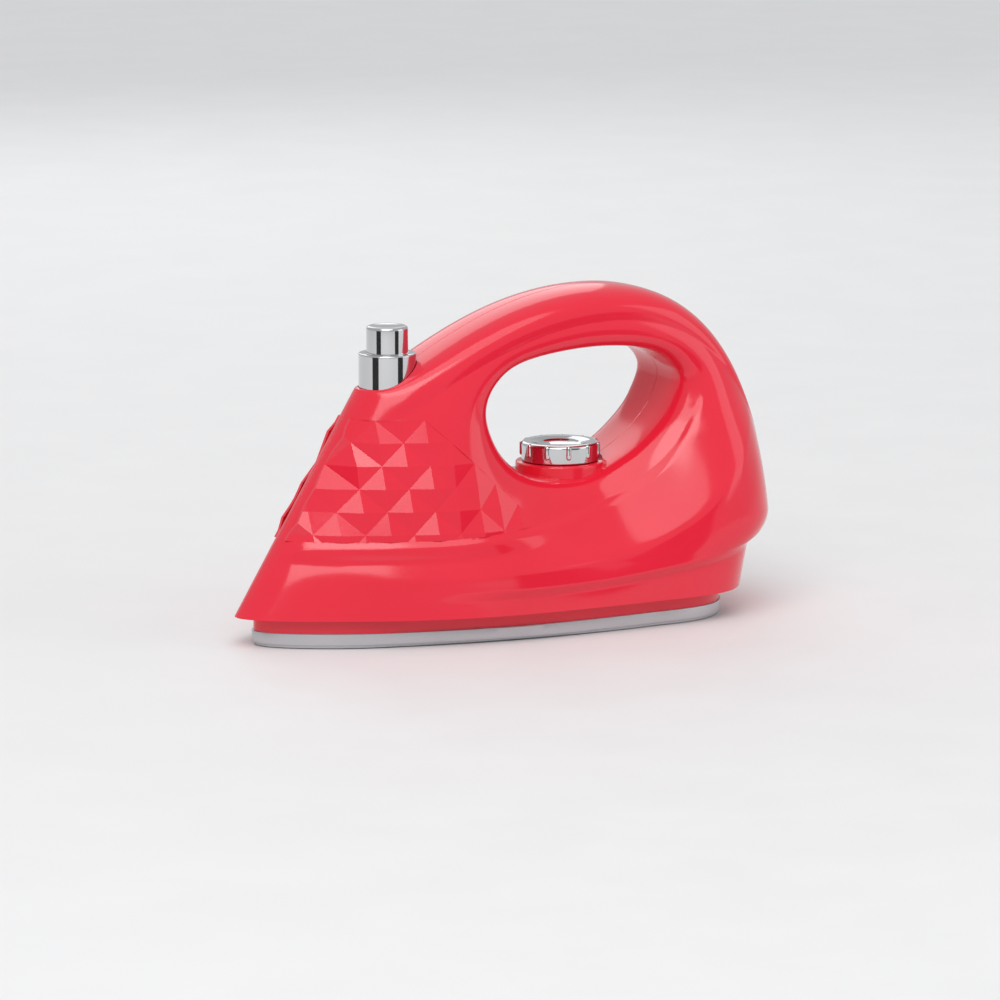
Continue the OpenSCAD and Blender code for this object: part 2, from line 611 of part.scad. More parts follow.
module eccentric_weight() {
    color(brass) translate([motor_x + motor_l + 3, 0, motor_z]) rotate([0, 90, 0]) difference() {
        union() {
            cylinder(d = 5, h = 6);
            intersection() {
                cylinder(d = 13, h = 6);
                translate([0, -10, 0]) cube([10, 20, 6]);
            }
        }
        translate([0, 0, -1]) cylinder(d = 2.04, h = 8);
    }
}

module motor_clamp() {
    y = motor_d / 2 + 0.3;
    top = motor_z + motor_flat / 2 + 0.1;
    color(steel) difference() {
        union() {
            slab(clamp_x - 3, clamp_x + 3, 2 * y + 3, top, top + 1.5);
            for (s = [-1, 1]) {
                translate([clamp_x - 3, s * (y + 0.75) - 0.75, floor_z]) cube([6, 1.5, top + 1 - floor_z]);
                translate([clamp_x - 3, s * (y + 5.75) - 5.75, floor_z]) cube([6, 11.5, 1.5]);
            }
        }
        for (s = [-1, 1]) translate([clamp_x, s * clamp_y, floor_z - 1]) cylinder(d = screw_d + 0.3, h = 5);
    }
}

// Dial and click
knob_z = seat_z + 0.3;
wheel_t = 4.4;
wheel_z = seat_z - seat_t - 0.3 - wheel_t;
socket_h = 4;

grip_r = 1;
module dial_knob() {
    r = dial_d / 2;
    color(chrome) difference() {
        union() {
            translate([dial_x, 0, knob_z]) rotate_extrude($fn = 96) polygon([[0, 0], [r - 1.2, 0],
                [r - 0.7, 0.5], [r - 0.5, dial_h - 1.2], [r - 0.9, dial_h - 0.4], [r - 1.8, dial_h],
                [r - 3.6, dial_h], [r * 0.54, dial_h - 0.5], [r * 0.5, dial_h - 1.4], [0, dial_h - 1.5]]);
            for (k = [0:dial_grips - 1]) translate([dial_x, 0, knob_z]) rotate(360 * (k + 0.82) / dial_grips)
                translate([r - grip_r, 0, 0]) {
                    translate([0, 0, dial_h * 0.24]) cylinder(r1 = 0.55, r2 = grip_r, h = 0.5, $fn = 24);
                    translate([0, 0, dial_h * 0.24 + 0.5]) cylinder(r = grip_r, h = dial_h * 0.76 - 1.05, $fn = 24);
                    translate([0, 0, dial_h - 0.55]) cylinder(r1 = grip_r, r2 = 0.5, h = 0.6, $fn = 24);
                }
        }
        translate([dial_x, 0, knob_z - 1]) cylinder(d = spindle_d + 0.04, h = socket_h + 1);
    }
}

module dial_spindle() {
    color(dark) difference() {
        translate([dial_x, 0, wheel_z]) cylinder(d = spindle_d, h = knob_z + socket_h - 0.1 - wheel_z);
        translate([dial_x, 0, wheel_z - 1]) cylinder(d = screw_d + 0.1, h = 9);
    }
}

module detent_wheel() {
    color(dark) translate([dial_x, 0, wheel_z]) difference() {
        cylinder(d = 17, h = wheel_t);
        translate([0, 0, -1]) cylinder(d = spindle_d + 0.04, h = wheel_t + 2);
        for (k = [0:11]) rotate(30 * k) translate([9, 0, -1]) cylinder(d = 2.4, h = wheel_t + 2);
    }
}

module dial_washer() {
    color(steel) translate([dial_x, 0, wheel_z - 0.85]) difference() {
        cylinder(d = 11, h = 0.8);
        translate([0, 0, -1]) cylinder(d = screw_d + 0.2, h = 3);
    }
}

module dial_screw() {
    color(steel) translate([dial_x, 0, wheel_z - 0.9]) rotate([180, 0, 0]) screw(8, 1.6);
}

module detent_spring() {
    z = wheel_z + 0.4;
    color(steel) translate([0, 0, z]) linear_extrude(3.4) polygon([
        [dial_x + 13.05, -8], [dial_x + 13.05, 0], [dial_x + 9.5, 3.6], [dial_x + 8, 4.5],
        [dial_x + 8.2, 4.85], [dial_x + 9.8, 3.9], [dial_x + 13.45, 0.2], [dial_x + 13.45, -8]]);
}

// Button, collar and switch
module push_button() {
    r = button_d / 2;
    top = rim_z + button_up;
    low = rim_z - 5.5;
    color(chrome) translate([collar_x, 0, 0]) {
        rotate_extrude($fn = 96) polygon([[0, top], [r - 1.6, top], [r - 0.7, top - 0.3], [r - 0.2, top - 0.9],
            [r, top - 1.8], [r, low], [r - 1.3, low], [r - 1.3, top - 2.2], [0, top - 2.2]]);
        difference() {
            translate([0, 0, stem_z]) cylinder(d = stem_d, h = top - 2 - stem_z);
            translate([0, 0, cup_z - 1.3]) difference() {
                cylinder(d = stem_d + 2, h = 1);
                translate([0, 0, -1]) cylinder(d = stem_d - 1.4, h = 3);
            }
        }
    }
}

module button_collar() {
    r = collar_d / 2;
    b = button_d / 2 + run;
    color(chrome) translate([collar_x, 0, 0]) difference() {
        rotate_extrude($fn = 96) polygon([[0, cup_z], [r + 1, cup_z], [r + 1, cup_z + cup_t - 0.3],
            [r, cup_z + cup_t - 0.3], [r, rim_z - 1], [r - 0.2, rim_z - 0.4], [b + 0.35, rim_z],
            [b, rim_z - 0.3], [b, cup_z + cup_t], [0, cup_z + cup_t]]);
        translate([0, 0, cup_z - 1]) cylinder(d = stem_d + 2 * run, h = cup_t + 2);
    }
}

module button_spring() {
    z0 = cup_z + cup_t + 0.45;
    z1 = rim_z + button_up - 2.2 - 0.45;
    color(steel) translate([collar_x, 0, z0]) wire(coil(4.3, 4.3, z1 - z0, 6, 12), 0.8, [0, 0, 1]);
}

module button_clip() {
    color(steel) translate([collar_x, 0, cup_z - 1.25]) difference() {
        cylinder(d = 9, h = 0.9);
        translate([0, 0, -1]) cylinder(d = stem_d - 1.3, h = 3);
        translate([0, -1.4, -1]) cube([8, 2.8, 3]);
    }
}

module switch_body() {
    color(dark) difference() {
        union() {
            translate([collar_x - 6, -6, switch_z]) cube([12, 12, switch_h]);
            for (s = [-1, 1]) translate([collar_x + 5.9, s * 3 - 0.9, switch_z + 2]) cube([2.6, 1.8, 0.6]);
        }
        translate([collar_x, 0, switch_z + 1]) cylinder(d = stem_d + 0.4 + 2 * run, h = switch_h);
    }
}

module switch_plunger() {
    color(red) translate([collar_x, 0, switch_z + 1 + button_travel + 0.3])
        cylinder(d = stem_d + 0.4, h = stem_z - 0.3 - switch_z - 1 - button_travel - 0.3);
}

// Internal leads
function smooth_path(p, n = 4) = concat([for (i = [0:len(p) - 2]) for (k = [0:n - 1])
    spline(p[max(0, i - 1)], p[i], p[i + 1], p[min(len(p) - 1, i + 2)], k / n)], [p[len(p) - 1]]);
lead_x = bay_x - bay_l / 2;
lead_z = bay_top - 3.5;
tab_x = collar_x + 8.6;
tab_z = switch_z + 2.3;
run_z = floor_z + lead_d / 2 + 0.6;
lead_y = bay_w / 2 + bay_t + 3.9;
module lead_supply() {
    color([0.75, 0.05, 0.05]) wire(smooth_path([[lead_x - 0.15, -cell_y, lead_z], [lead_x - 4, -cell_y, lead_z],
        [lead_x - 8, -cell_y, lead_z + 8], [lead_x - 8, -6, (lead_z + tab_z) / 2], [tab_x + 6, -4, tab_z - 6],
        [tab_x + 4, -3, tab_z], [tab_x, -3, tab_z]]), lead_d, [0, 1, 0], 8);
}
module lead_motor() {
    color([0.1, 0.2, 0.6]) wire(smooth_path([[tab_x, 3, tab_z], [tab_x + 4, 3, tab_z], [tab_x + 6, 5, tab_z - 6],
        [lead_x - 6, 12, (lead_z + tab_z) / 2], [lead_x - 5, lead_y - 2.5, run_z + 6], [lead_x + 4, lead_y - 0.5, run_z],
        [bay_x, lead_y, run_z],
        [motor_x - 16, lead_y - 0.5, run_z], [motor_x - 12, 15, motor_z - 10], [motor_x - 11, 7, motor_z], [motor_x - 7.1, 6.5, motor_z]]),
        lead_d, [0.2, 0.6, 0.77], 8);
}
module lead_return() {
    color(dark) wire(smooth_path([[lead_x - 0.15, cell_y, lead_z], [lead_x - 4, cell_y, lead_z],
        [lead_x - 9, 2, lead_z + 1], [lead_x - 9, -12, run_z + 1], [lead_x - 3, 1 - lead_y, run_z], [bay_x, -lead_y, run_z],
        [motor_x - 16, 0.5 - lead_y, run_z], [motor_x - 12, -15, motor_z - 10], [motor_x - 11, -7, motor_z], [motor_x - 7.1, -6.5, motor_z]]),
        lead_d, [0.2, 0.3, 0.93], 8);
}

left_shell();
right_shell();
base_pan();
soleplate();
battery_door();
door_screw();
battery_cells();
contact_springs();
contact_plates();
motor_can();
motor_end_cap();
motor_shaft();
eccentric_weight();
motor_clamp();
clamp_screws();
dial_knob();
dial_spindle();
detent_wheel();
dial_washer();
dial_screw();
detent_spring();
push_button();
button_collar();
button_spring();
button_clip();
switch_body();
switch_plunger();
lead_supply();
lead_motor();
lead_return();
case_screws();
base_screws();
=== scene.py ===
"""Looks of a toy steam iron: fine moulded halves, dial, button and base over the shared frame.

Sizes are in millimetres unless a name says otherwise. X runs from nose to rear, Z is up and Y = 0 is the
seam between the two halves.
"""

import json
import logging
import math
from dataclasses import dataclass, field
from enum import Enum
from typing import Any, Sequence

import bmesh
import bpy
import numpy as np
from mathutils import Matrix, Vector

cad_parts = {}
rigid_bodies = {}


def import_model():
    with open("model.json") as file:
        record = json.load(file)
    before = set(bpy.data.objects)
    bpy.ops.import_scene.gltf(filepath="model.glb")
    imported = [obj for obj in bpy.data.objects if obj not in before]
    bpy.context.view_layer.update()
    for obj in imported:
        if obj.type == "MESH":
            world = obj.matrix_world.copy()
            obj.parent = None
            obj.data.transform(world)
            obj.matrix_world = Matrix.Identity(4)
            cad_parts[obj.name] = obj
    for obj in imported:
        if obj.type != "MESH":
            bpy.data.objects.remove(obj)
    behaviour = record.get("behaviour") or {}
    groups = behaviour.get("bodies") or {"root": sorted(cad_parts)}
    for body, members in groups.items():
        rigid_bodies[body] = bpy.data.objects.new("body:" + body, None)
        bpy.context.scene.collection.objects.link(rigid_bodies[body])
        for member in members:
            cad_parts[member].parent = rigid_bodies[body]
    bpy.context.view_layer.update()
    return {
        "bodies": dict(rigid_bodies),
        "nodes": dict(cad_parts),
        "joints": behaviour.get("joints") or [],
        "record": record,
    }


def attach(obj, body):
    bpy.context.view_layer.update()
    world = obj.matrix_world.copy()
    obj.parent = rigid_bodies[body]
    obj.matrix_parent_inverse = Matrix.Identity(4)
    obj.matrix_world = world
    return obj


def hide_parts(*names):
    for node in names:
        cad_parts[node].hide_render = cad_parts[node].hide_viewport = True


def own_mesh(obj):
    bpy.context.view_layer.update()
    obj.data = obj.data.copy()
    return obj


LOG = logging.getLogger("toy_iron")
MM = 0.001
Array = np.ndarray
Triple = tuple[float, float, float]
Edge = tuple[float, float, float, float, float]


class Body(str, Enum):
    """Bodies of the frame that a piece can ride on."""

    CASE = "body"
    DIAL = "dial"
    BUTTON = "button"
    ROTOR = "rotor"


class Side(Enum):
    """Half of the case, by the sign of Y."""

    LEFT = -1
    RIGHT = 1


class Surface(Enum):
    """Kind of fine texture that a finish gets."""

    GLOSS = "gloss"
    PLATED = "plated"
    SATIN = "satin"
    BRUSHED = "brushed"
    WRAP = "wrap"


# Maths of the body


def mix(a: Any, b: Any, t: Any) -> Any:
    """Goes from one value to another."""
    return a + (b - a) * t


def soft(t: Any) -> Array:
    """Smooth step."""
    c = np.clip(t, 0.0, 1.0)
    return c * c * (3.0 - 2.0 * c)


def bezier(a: Sequence[float], b: Sequence[float], c: Sequence[float], d: Sequence[float], t: Array) -> Array:
    """Points of a cubic curve.

    Args:
        a: Start.
        b: First handle.
        c: Second handle.
        d: End.
        t: Shares of the way.

    Returns:
        One row per share.
    """
    p = [np.asarray(v, float) for v in (a, b, c, d)]
    s = np.asarray(t, float)[:, None]
    return (1 - s) ** 3 * p[0] + 3 * (1 - s) ** 2 * s * p[1] + 3 * (1 - s) * s * s * p[2] + s**3 * p[3]


def steps(n: int) -> Array:
    """Even shares from 0 up to, but without, 1."""
    return np.arange(n) / n


@dataclass
class BodyForm:
    """The moulded body as a formula: half width over x and z, and the grid of points of one half."""

    length: float = 200.0
    height: float = 116.5
    sole: float = 10.0
    nose_h: float = 85.5
    nose_back: float = 46.0
    belly: float = 47.7
    skirt: float = 43.0
    grip: float = 18.5
    lip: float = 20.0
    wall: float = 2.2
    middle: tuple[float, float] = (25.0, 74.0)
    thick: float = 2.2
    counts: tuple[int, ...] = (64, 76, 104, 34, 14, 110)
    edge1: Edge = (35.0, 105.0, 15.0, 12.0, 8.0)
    edge2: Edge = (29.0, 105.0, 15.0, 12.0, 8.0)
    edge3: Edge = (23.0, 125.0, 10.0, 22.0, 6.0)
    edge4: Edge = (17.5, 140.0, 0.0, 11.0, 3.0)
    brim: tuple[float, float] = (1.5, -2.5)

    def __post_init__(self) -> None:
        """Works out the outline and the lookup tables."""
        self.nose_x = -self.length / 2
        self.tail = self.length / 2
        self.skirt_x = self.tail - 10
        self.skirt_end = self.skirt_x - 1.5
        self.lean = self.nose_back / (self.nose_h - self.sole)
        self.inset = 1.45 * self.wall
        self.shift = 1.9 * self.wall / 2.2
        self.nose_top = np.array([self.nose_x + self.nose_back, self.nose_h])
        self.apex = np.array([self.tail - 64, self.height])
        self.bulge = np.array([self.tail, self.sole + 26])
        fine = np.linspace(0, 1, 240)
        front, rear = self.arch_front(fine), self.arch_rear(fine)
        start = [[self.nose_top[0] - 5, self.nose_top[1] - 0.2]]
        self._top = np.concatenate([start, front, rear[1:]])
        self._rear = np.concatenate([self.tuck(fine[:0:-1]), rear[::-1]])
        self.skirt_rise = float(self._rear[0, 1]) - self.sole
        self._lip = self._polar_lip()

    def arch_front(self, t: Array) -> Array:
        """Handle outline from the nose to the top, at shares t."""
        return bezier(self.nose_top, self.nose_top + [15, 0.5], self.apex - [46, 0], self.apex, t)

    def arch_rear(self, t: Array) -> Array:
        """Handle outline from the top to the rear bulge, at shares t."""
        return bezier(self.apex, self.apex + [46, 0], self.bulge + [-3, 41], self.bulge, t)

    def tuck(self, t: Array) -> Array:
        """Outline from the rear bulge in to the top of the skirt, at shares t.

        Args:
            t: Shares of the way.

        Returns:
            One row per share.
        """
        end = np.array([self.tail - 6, self.skirt_x])
        low = self.edge_z(end, self.edge4)
        return bezier(self.bulge, self.bulge - [0, 5], [end[0], low[0] - 2.5], [end[1] + 1.5, low[1] - 3], t)

    def _polar_lip(self) -> tuple[Array, Array]:
        """Throat of the opening as angle and radius.

        Returns:
            Angles in degrees, rising, and the radii.
        """
        way = [(-37, 1), (-33, 12), (-21, 19), (5, 22), (27, 19.5), (37, 11),
               (34, 0), (27, -8.5), (16, -16.5), (0, -22.5), (-19, -21), (-31, -13)]
        p = np.array(way, float)
        a, c, d = np.roll(p, 1, 0), np.roll(p, -1, 0), np.roll(p, -2, 0)
        t = steps(24)[:, None, None]
        square, cube = 2 * a - 5 * p + 4 * c - d, 3 * p - a - 3 * c + d
        fine = 0.5 * (2 * p + (c - a) * t + square * t**2 + cube * t**3)
        fine = fine.reshape(-1, 2)
        turn = (180 - np.degrees(np.arctan2(fine[:, 1], fine[:, 0]))) % 360
        order = np.argsort(turn)
        return turn[order], np.hypot(fine[:, 0], fine[:, 1])[order]

    def throat(self, x: Array, z: Array) -> Array:
        """Radius of the opening towards x, z."""
        turn = (180 - np.degrees(np.arctan2(z - self.middle[1], x - self.middle[0]))) % 360
        return np.interp(turn, *self._lip, period=360)

    def reach(self, x: Array, z: Array) -> Array:
        """Distance of x, z from the middle of the opening."""
        return np.hypot(x - self.middle[0], z - self.middle[1])

    def edge_z(self, x: Array, e: Edge) -> Array:
        """Height of a flowing edge at x."""
        u = np.maximum(0, (x - self.nose_x - 53) / e[1])
        return e[0] + e[2] * u * u + e[3] * u ** e[4]

    def off_edge(self, x: Array, z: Array, e: Edge) -> Array:
        """Distance of x, z from a flowing edge, positive above it.

        Args:
            x: Places along the body.
            z: Heights.
            e: The edge.

        Returns:
            Distances.
        """
        u = np.maximum(0, (x - self.nose_x - 53) / e[1])
        slope = (2 * e[2] * u + e[3] * e[4] * u ** (e[4] - 1)) / e[1]
        return (z - self.edge_z(x, e)) / np.sqrt(1 + slope**2)

    def top_z(self, x: Array) -> Array:
        """Height of the outline at x."""
        return np.interp(x, self._top[:, 0], self._top[:, 1])

    def rear_x(self, z: Array) -> Array:
        """Rear end of the outline at z."""
        return np.interp(z, self._rear[:, 1], self._rear[:, 0])

    def behind_nose(self, x: Array, z: Array) -> Array:
        """Distance behind the leaning nose line."""
        return x - self.nose_x - (z - self.sole) * self.lean

    @staticmethod
    def _round(e: Array, l: Any) -> Array:
        """Rounded end: half width at distance e from it.

        Args:
            e: Distances from the end.
            l: Length of the rounding.

        Returns:
            Half widths.
        """
        e = np.maximum(e, 1e-9)
        near = np.sqrt(np.maximum(e * (2 * l - e), 1e-9))
        return np.maximum(0.001, 1.1 * np.where(e < l, near, l + 0.3 * (e - l)))

    def half_width(self, x: Array, z: Array, t: Any, inset: float = 0.0, k: float = 1.0) -> Array:
        """Half width of the body.

        Args:
            x: Places along the body.
            z: Heights.
            t: Distances from the throat of the opening.
            inset: How far all limits move inwards.
            k: How much further the nose moves inwards.

        Returns:
            Half widths.
        """
        d = np.maximum(0.001, self.behind_nose(x, z) - k * inset)
        h = (z - self.sole) / (self.nose_h - self.sole)
        nose = np.sqrt(2 * mix(6.5, 9.0, h) * d + (mix(0.42, 0.15, h) * d) ** 2)
        rear = self._round(self.rear_x(z) - x - inset, mix(46.0, 32.0, soft((z - 40) / 75)) - inset)
        top = np.maximum(0.001, self.top_z(x) - z - inset)
        low = np.minimum(top, 11.0)
        arch = np.where(top < 11, (1 - (1 - low / 11) ** 2.6) ** (1 / 2.6), 1 + 0.03 * (top - 11))
        grip = np.maximum(0.001, (self.grip - inset) * arch)
        t = np.maximum(t, 1e-9)
        lip = np.maximum(0.001, (self.lip - inset) * (t / 4) ** 0.125 + 0.2 * t + 0.02 * t * t)
        back = mix(self.skirt_end, self.skirt_x + 1.5, np.clip((z - self.sole) / self.skirt_rise, 0, 1))
        heel = self._round(back - x - inset, self.skirt - inset)
        body = (nose**-5 + rear**-5 + grip**-5 + lip**-5 + (self.belly - inset) ** -5) ** -0.2
        skirt = (nose**-5 + heel**-5 + lip**-5 + (self.skirt - inset) ** -5) ** -0.2
        over = soft((z - self.edge_z(x, self.edge4) + 2.5 - 1.2 * inset) / 4)
        return mix(np.minimum(body, skirt), body, over)

    def ribbons(self, x: Array, z: Array, t: Array) -> Array:
        """Height of the raised and sunk ribbons over the plain body.

        Args:
            x: Places along the body.
            z: Heights.
            t: Distances from the throat of the opening.

        Returns:
            How far the surface moves out.
        """

        def near(s: Array, w: float, r: float) -> Array:
            """Rounded ridge of width w at distance s."""
            return np.exp(-(np.sqrt(s * s + r * r) - r) / w)

        d = self.behind_nose(x, z)
        s1 = self.off_edge(x, z, self.edge1)
        lid = soft((80 - z) / 16) * soft(t / 7)
        low = 1.6 * near(self.off_edge(x, z, self.edge3), 7, 0.8)
        low = low * soft((x + 75) / 60) * soft((self.rear_x(z) - x) / 20)
        ledge = soft((1.0 - s1) / 2.4) * near(s1, 14, 0.5) * soft(d / 6)
        groove = 0.9 * near(self.off_edge(x, z, self.edge2), 3.5, 0.8) * soft(d / 8) * soft((25 - x) / 50)
        return lid * (low + ledge - groove)

    def y_at(self, x: Array, z: Array) -> Array:
        """Half width without ribbons at x, z."""
        x, z = np.asarray(x, float), np.asarray(z, float)
        return self.half_width(x, z, np.maximum(0.1, self.reach(x, z) - self.throat(x, z)))

    def outline(self) -> tuple[Array, int]:
        """Side outline of the body, from the nose tip over the handle and back along the base.

        Returns:
            Points and the index of the rear lower corner.
        """
        n_nose, n_front, n_rear, n_tuck, n_skirt, n_base = self.counts
        low = np.array([self.nose_x, self.sole])
        skirt_top = self.tuck(np.ones(1))[0]
        end = np.array([self.skirt_end, self.sole])
        swing = (1 - np.cos(np.pi * steps(n_base))) / 2
        base = np.stack([mix(self.skirt_end, self.nose_x, swing), np.full(n_base, self.sole)], 1)
        side = np.concatenate([
            mix(low, self.nose_top, steps(n_nose)[:, None]),
            self.arch_front(steps(n_front)),
            self.arch_rear(steps(n_rear)),
            self.tuck(steps(n_tuck)),
            mix(skirt_top, end, steps(n_skirt)[:, None]),
        ])
        return np.concatenate([side, base]), len(side)

    def cross(self, way: Array, r0: Array, r1: Array, e: Edge) -> Array:
        """Share along each ray at which it goes below a flowing edge.

        Args:
            way: Directions of the rays.
            r0: Where the rays start.
            r1: Where they end.
            e: The edge.

        Returns:
            Shares, 1 for rays that stay above.
        """
        lo, hi = np.zeros(len(way)), np.ones(len(way))
        for _ in range(24):
            m = (lo + hi) / 2
            r = mix(r0, r1, m)
            x, z = self.middle[0] + way[:, 0] * r, self.middle[1] + way[:, 1] * r
            above = z > self.edge_z(x, e)
            lo, hi = np.where(above, m, lo), np.where(above, hi, m)
        return (lo + hi) / 2

    def rays(self, ring: Array, out: float = 0.0) -> tuple[Array, Array, Array]:
        """Rays from the middle of the opening to a ring of points.

        Args:
            ring: Points.
            out: How far the start stays from the throat.

        Returns:
            Directions, starting radii and ending radii.
        """
        r1 = self.reach(ring[:, 0], ring[:, 1])
        way = (ring - np.array(self.middle)) / r1[:, None]
        return way, self.throat(ring[:, 0], ring[:, 1]) + out, r1

    @staticmethod
    def shifted(e: Edge, up: float) -> Edge:
        """The same flowing edge, moved up."""
        return (e[0] + up, *e[1:])

    def skin(self) -> Array:
        """Outer surface of one half.

        Returns:
            Array of columns by rows by three.
        """
        ring, corner = self.outline()
        way, r0, r1 = self.rays(ring)
        l = r1 - r0
        edges = [self.edge1, self.edge2, self.edge3] + [self.shifted(self.edge4, up) for up in self.brim]
        cut = [self.cross(way, r0, r1, e) for e in edges]
        a = np.maximum(np.minimum(cut[0], 0.55), 5 / l + 0.03)
        b = np.maximum(np.minimum(cut[1], 0.66), a + 0.04)
        c = np.maximum(np.minimum(cut[2], 0.8), b + 0.06)
        e = np.maximum(np.minimum(cut[3], 0.95), c + 0.04)
        f = np.maximum(np.minimum(cut[4], 0.98), e + 0.01)
        stops = [0 * l, 0.1 / l, 0.6 / l, 2 / l, 5 / l, a, b, c, e, f, mix(f, 1, 0.5), 0 * l + 1]
        parts = (8, 5, 5, 5, 16, 8, 12, 14, 12, 8, 16)
        rows = []
        for i, n in enumerate(parts):
            for s in steps(n):
                if i == 0:
                    s = s**8
                elif i == len(parts) - 1:
                    s = 1 - (1 - s) ** 2.2
                rows.append(mix(stops[i], stops[i + 1], s))
        v = np.stack(rows + [stops[-1]], 1)
        r = mix(r0[:, None], r1[:, None], v)
        x = self.middle[0] + way[:, :1] * r
        z = self.middle[1] + way[:, 1:] * r
        t = v * l[:, None]
        y = self.half_width(x, z, t) + self.ribbons(x, z, t)
        y[:, 0] = 0.2
        y[: corner + 1, -1] = 0.2
        grid = np.stack([x, y, z], 2)
        return self._with_seam(grid, way, corner)

    def _with_seam(self, grid: Array, way: Array, corner: int) -> Array:
        """Adds a row at each end, so that a fine groove runs along the seam.

        Args:
            grid: Surface of one half.
            way: Directions of its columns.
            corner: Index of the rear lower corner.

        Returns:
            The surface with two more rows.
        """
        first, last = grid[:, 0].copy(), grid[:, -1].copy()
        first[:, [0, 2]] += 0.3 * way
        first[:, 1] = 0
        last[: corner + 1, [0, 2]] -= 0.3 * way[: corner + 1]
        last[: corner + 1, 1] = 0
        last[corner + 1:, 1] = np.maximum(last[corner + 1:, 1] - 0.5, 0)
        return np.concatenate([first[:, None], grid, last[:, None]], 1)

    def lining(self) -> Array:
        """Inner surface of one half, a wall inside the outer one.

        Returns:
            Array of columns by rows by three.
        """
        ring, corner = self.outline()
        way, r0, r1 = self.rays(ring)
        more = np.ones(len(ring)) * self.inset
        nose = self.counts[0]
        k = np.arange(len(ring))
        more = np.where(k < corner, self.inset * mix(self.thick, 1, soft((k - nose + 6) / 24)), more)
        inner = ring - way * more[:, None]
        swing = (1 - np.cos(np.pi * steps(len(ring) - corner))) / 2
        inner[corner:, 0] = mix(self.skirt_end - self.inset, self.nose_x + self.thick * self.inset, swing)
        inner[corner:, 1] = self.sole
        inner[0] = [self.nose_x + self.thick * self.inset, self.sole]
        way, r0, r1 = self.rays(inner, self.inset)
        l = r1 - r0
        b = np.maximum(np.minimum(self.cross(way, r0, r1, self.edge2), 0.6), 6 / l + 0.05)
        upper, lower = (self.cross(way, r0, r1, self.shifted(self.edge4, up)) for up in self.brim)
        e = np.maximum(np.minimum(upper, 0.92), b + 0.1)
        f = np.maximum(np.minimum(lower, 0.97), e + 0.02)
        v = np.stack([0 * l, 0.3 / l, 2 / l, 6 / l, b, (b + e) / 2, e, f, mix(f, 1, 0.6), 0 * l + 1], 1)
        r = mix(r0[:, None], r1[:, None], v)
        x = self.middle[0] + way[:, :1] * r
        z = self.middle[1] + way[:, 1:] * r
        y = self.half_width(x, z, v * l[:, None], self.shift, self.thick)
        y[:, 0] = 0
        y[: corner + 1, -1] = 0
        return np.stack([x, y, z], 2)

    def plan(self, inset: float, k: float = 1.0, n: int = 150) -> Array:
        """Plan of the base, moved inwards.

        Args:
            inset: How far it stays inside the skirt.
            k: How much further at the nose.
            n: Points along one side.

        Returns:
            Closed ring of points in x and y.
        """
        swing = (1 - np.cos(np.pi * np.linspace(0, 1, n))) / 2
        x = mix(self.nose_x + k * inset, self.skirt_end - inset, swing)
        y = self.half_width(x, np.full(n, self.sole), 99.0, inset, k)
        y[0] = y[-1] = 0
        return np.concatenate([np.stack([x, -y], 1), np.stack([x, y], 1)[-2:0:-1]])


# Meshes


def new_object(name: str, points: Array, faces: Sequence[Sequence[int]]) -> bpy.types.Object:
    """Makes a mesh object from points in millimetres.

    Args:
        name: Name of the object.
        points: One row per point.
        faces: Indices per face, anticlockwise from outside.

    Returns:
        The object, linked to the scene.
    """
    mesh = bpy.data.meshes.new(name)
    mesh.from_pydata((np.asarray(points, float) * MM).tolist(), [], [list(map(int, f)) for f in faces])
    mesh.validate()
    obj = bpy.data.objects.new(name, mesh)
    bpy.context.scene.collection.objects.link(obj)
    return obj


def strip_faces(n: int, m: int, start: int = 0, turn: bool = False) -> list[tuple[int, ...]]:
    """Faces of a grid whose columns close into a ring.

    Args:
        n: Number of columns.
        m: Points per column.
        start: Index of the first point.
        turn: Faces look the other way.

    Returns:
        Four indices per face.
    """
    i, j = np.meshgrid(np.arange(n), np.arange(m - 1), indexing="ij")
    k = (i + 1) % n
    quad = [start + i * m + j, start + k * m + j, start + k * m + j + 1, start + i * m + j + 1]
    if turn:
        quad.reverse()
    return [tuple(f) for f in np.stack(quad, -1).reshape(-1, 4)]


def lathe(name: str, profile: Sequence[tuple[float, float]], centre: tuple[float, float],
          n: int = 160) -> bpy.types.Object:
    """Turns a profile round a vertical axis.

    Args:
        name: Name of the object.
        profile: Radius and height, from the lower middle outwards and up.
        centre: Place of the axis in x and y.
        n: Number of columns.

    Returns:
        The object.
    """
    p = np.asarray(profile, float)
    a = 2 * np.pi * steps(n)
    ring = np.stack([centre[0] + np.outer(np.cos(a), p[:, 0]), centre[1] + np.outer(np.sin(a), p[:, 0]),
                     np.tile(p[:, 1], (n, 1))], 2)
    obj = new_object(name, ring.reshape(-1, 3), strip_faces(n, len(p)))
    weld(obj)
    return obj


def arc(c: tuple[float, float], r: float, a0: float, a1: float, n: int = 7) -> list[tuple[float, float]]:
    """Points of an arc in a profile."""
    a = np.radians(np.linspace(a0, a1, n))
    return [(c[0] + r * math.cos(t), c[1] + r * math.sin(t)) for t in a]


def weld(obj: bpy.types.Object, dist: float = 0.002) -> None:
    """Joins points that lie on each other and turns the faces outwards.

    Args:
        obj: Mesh object.
        dist: Distance in millimetres.
    """
    bm = bmesh.new()
    bm.from_mesh(obj.data)
    bmesh.ops.remove_doubles(bm, verts=bm.verts, dist=dist * MM)
    bmesh.ops.dissolve_degenerate(bm, edges=bm.edges, dist=dist * MM * 0.1)
    bmesh.ops.recalc_face_normals(bm, faces=bm.faces)
    bm.to_mesh(obj.data)
    bm.free()


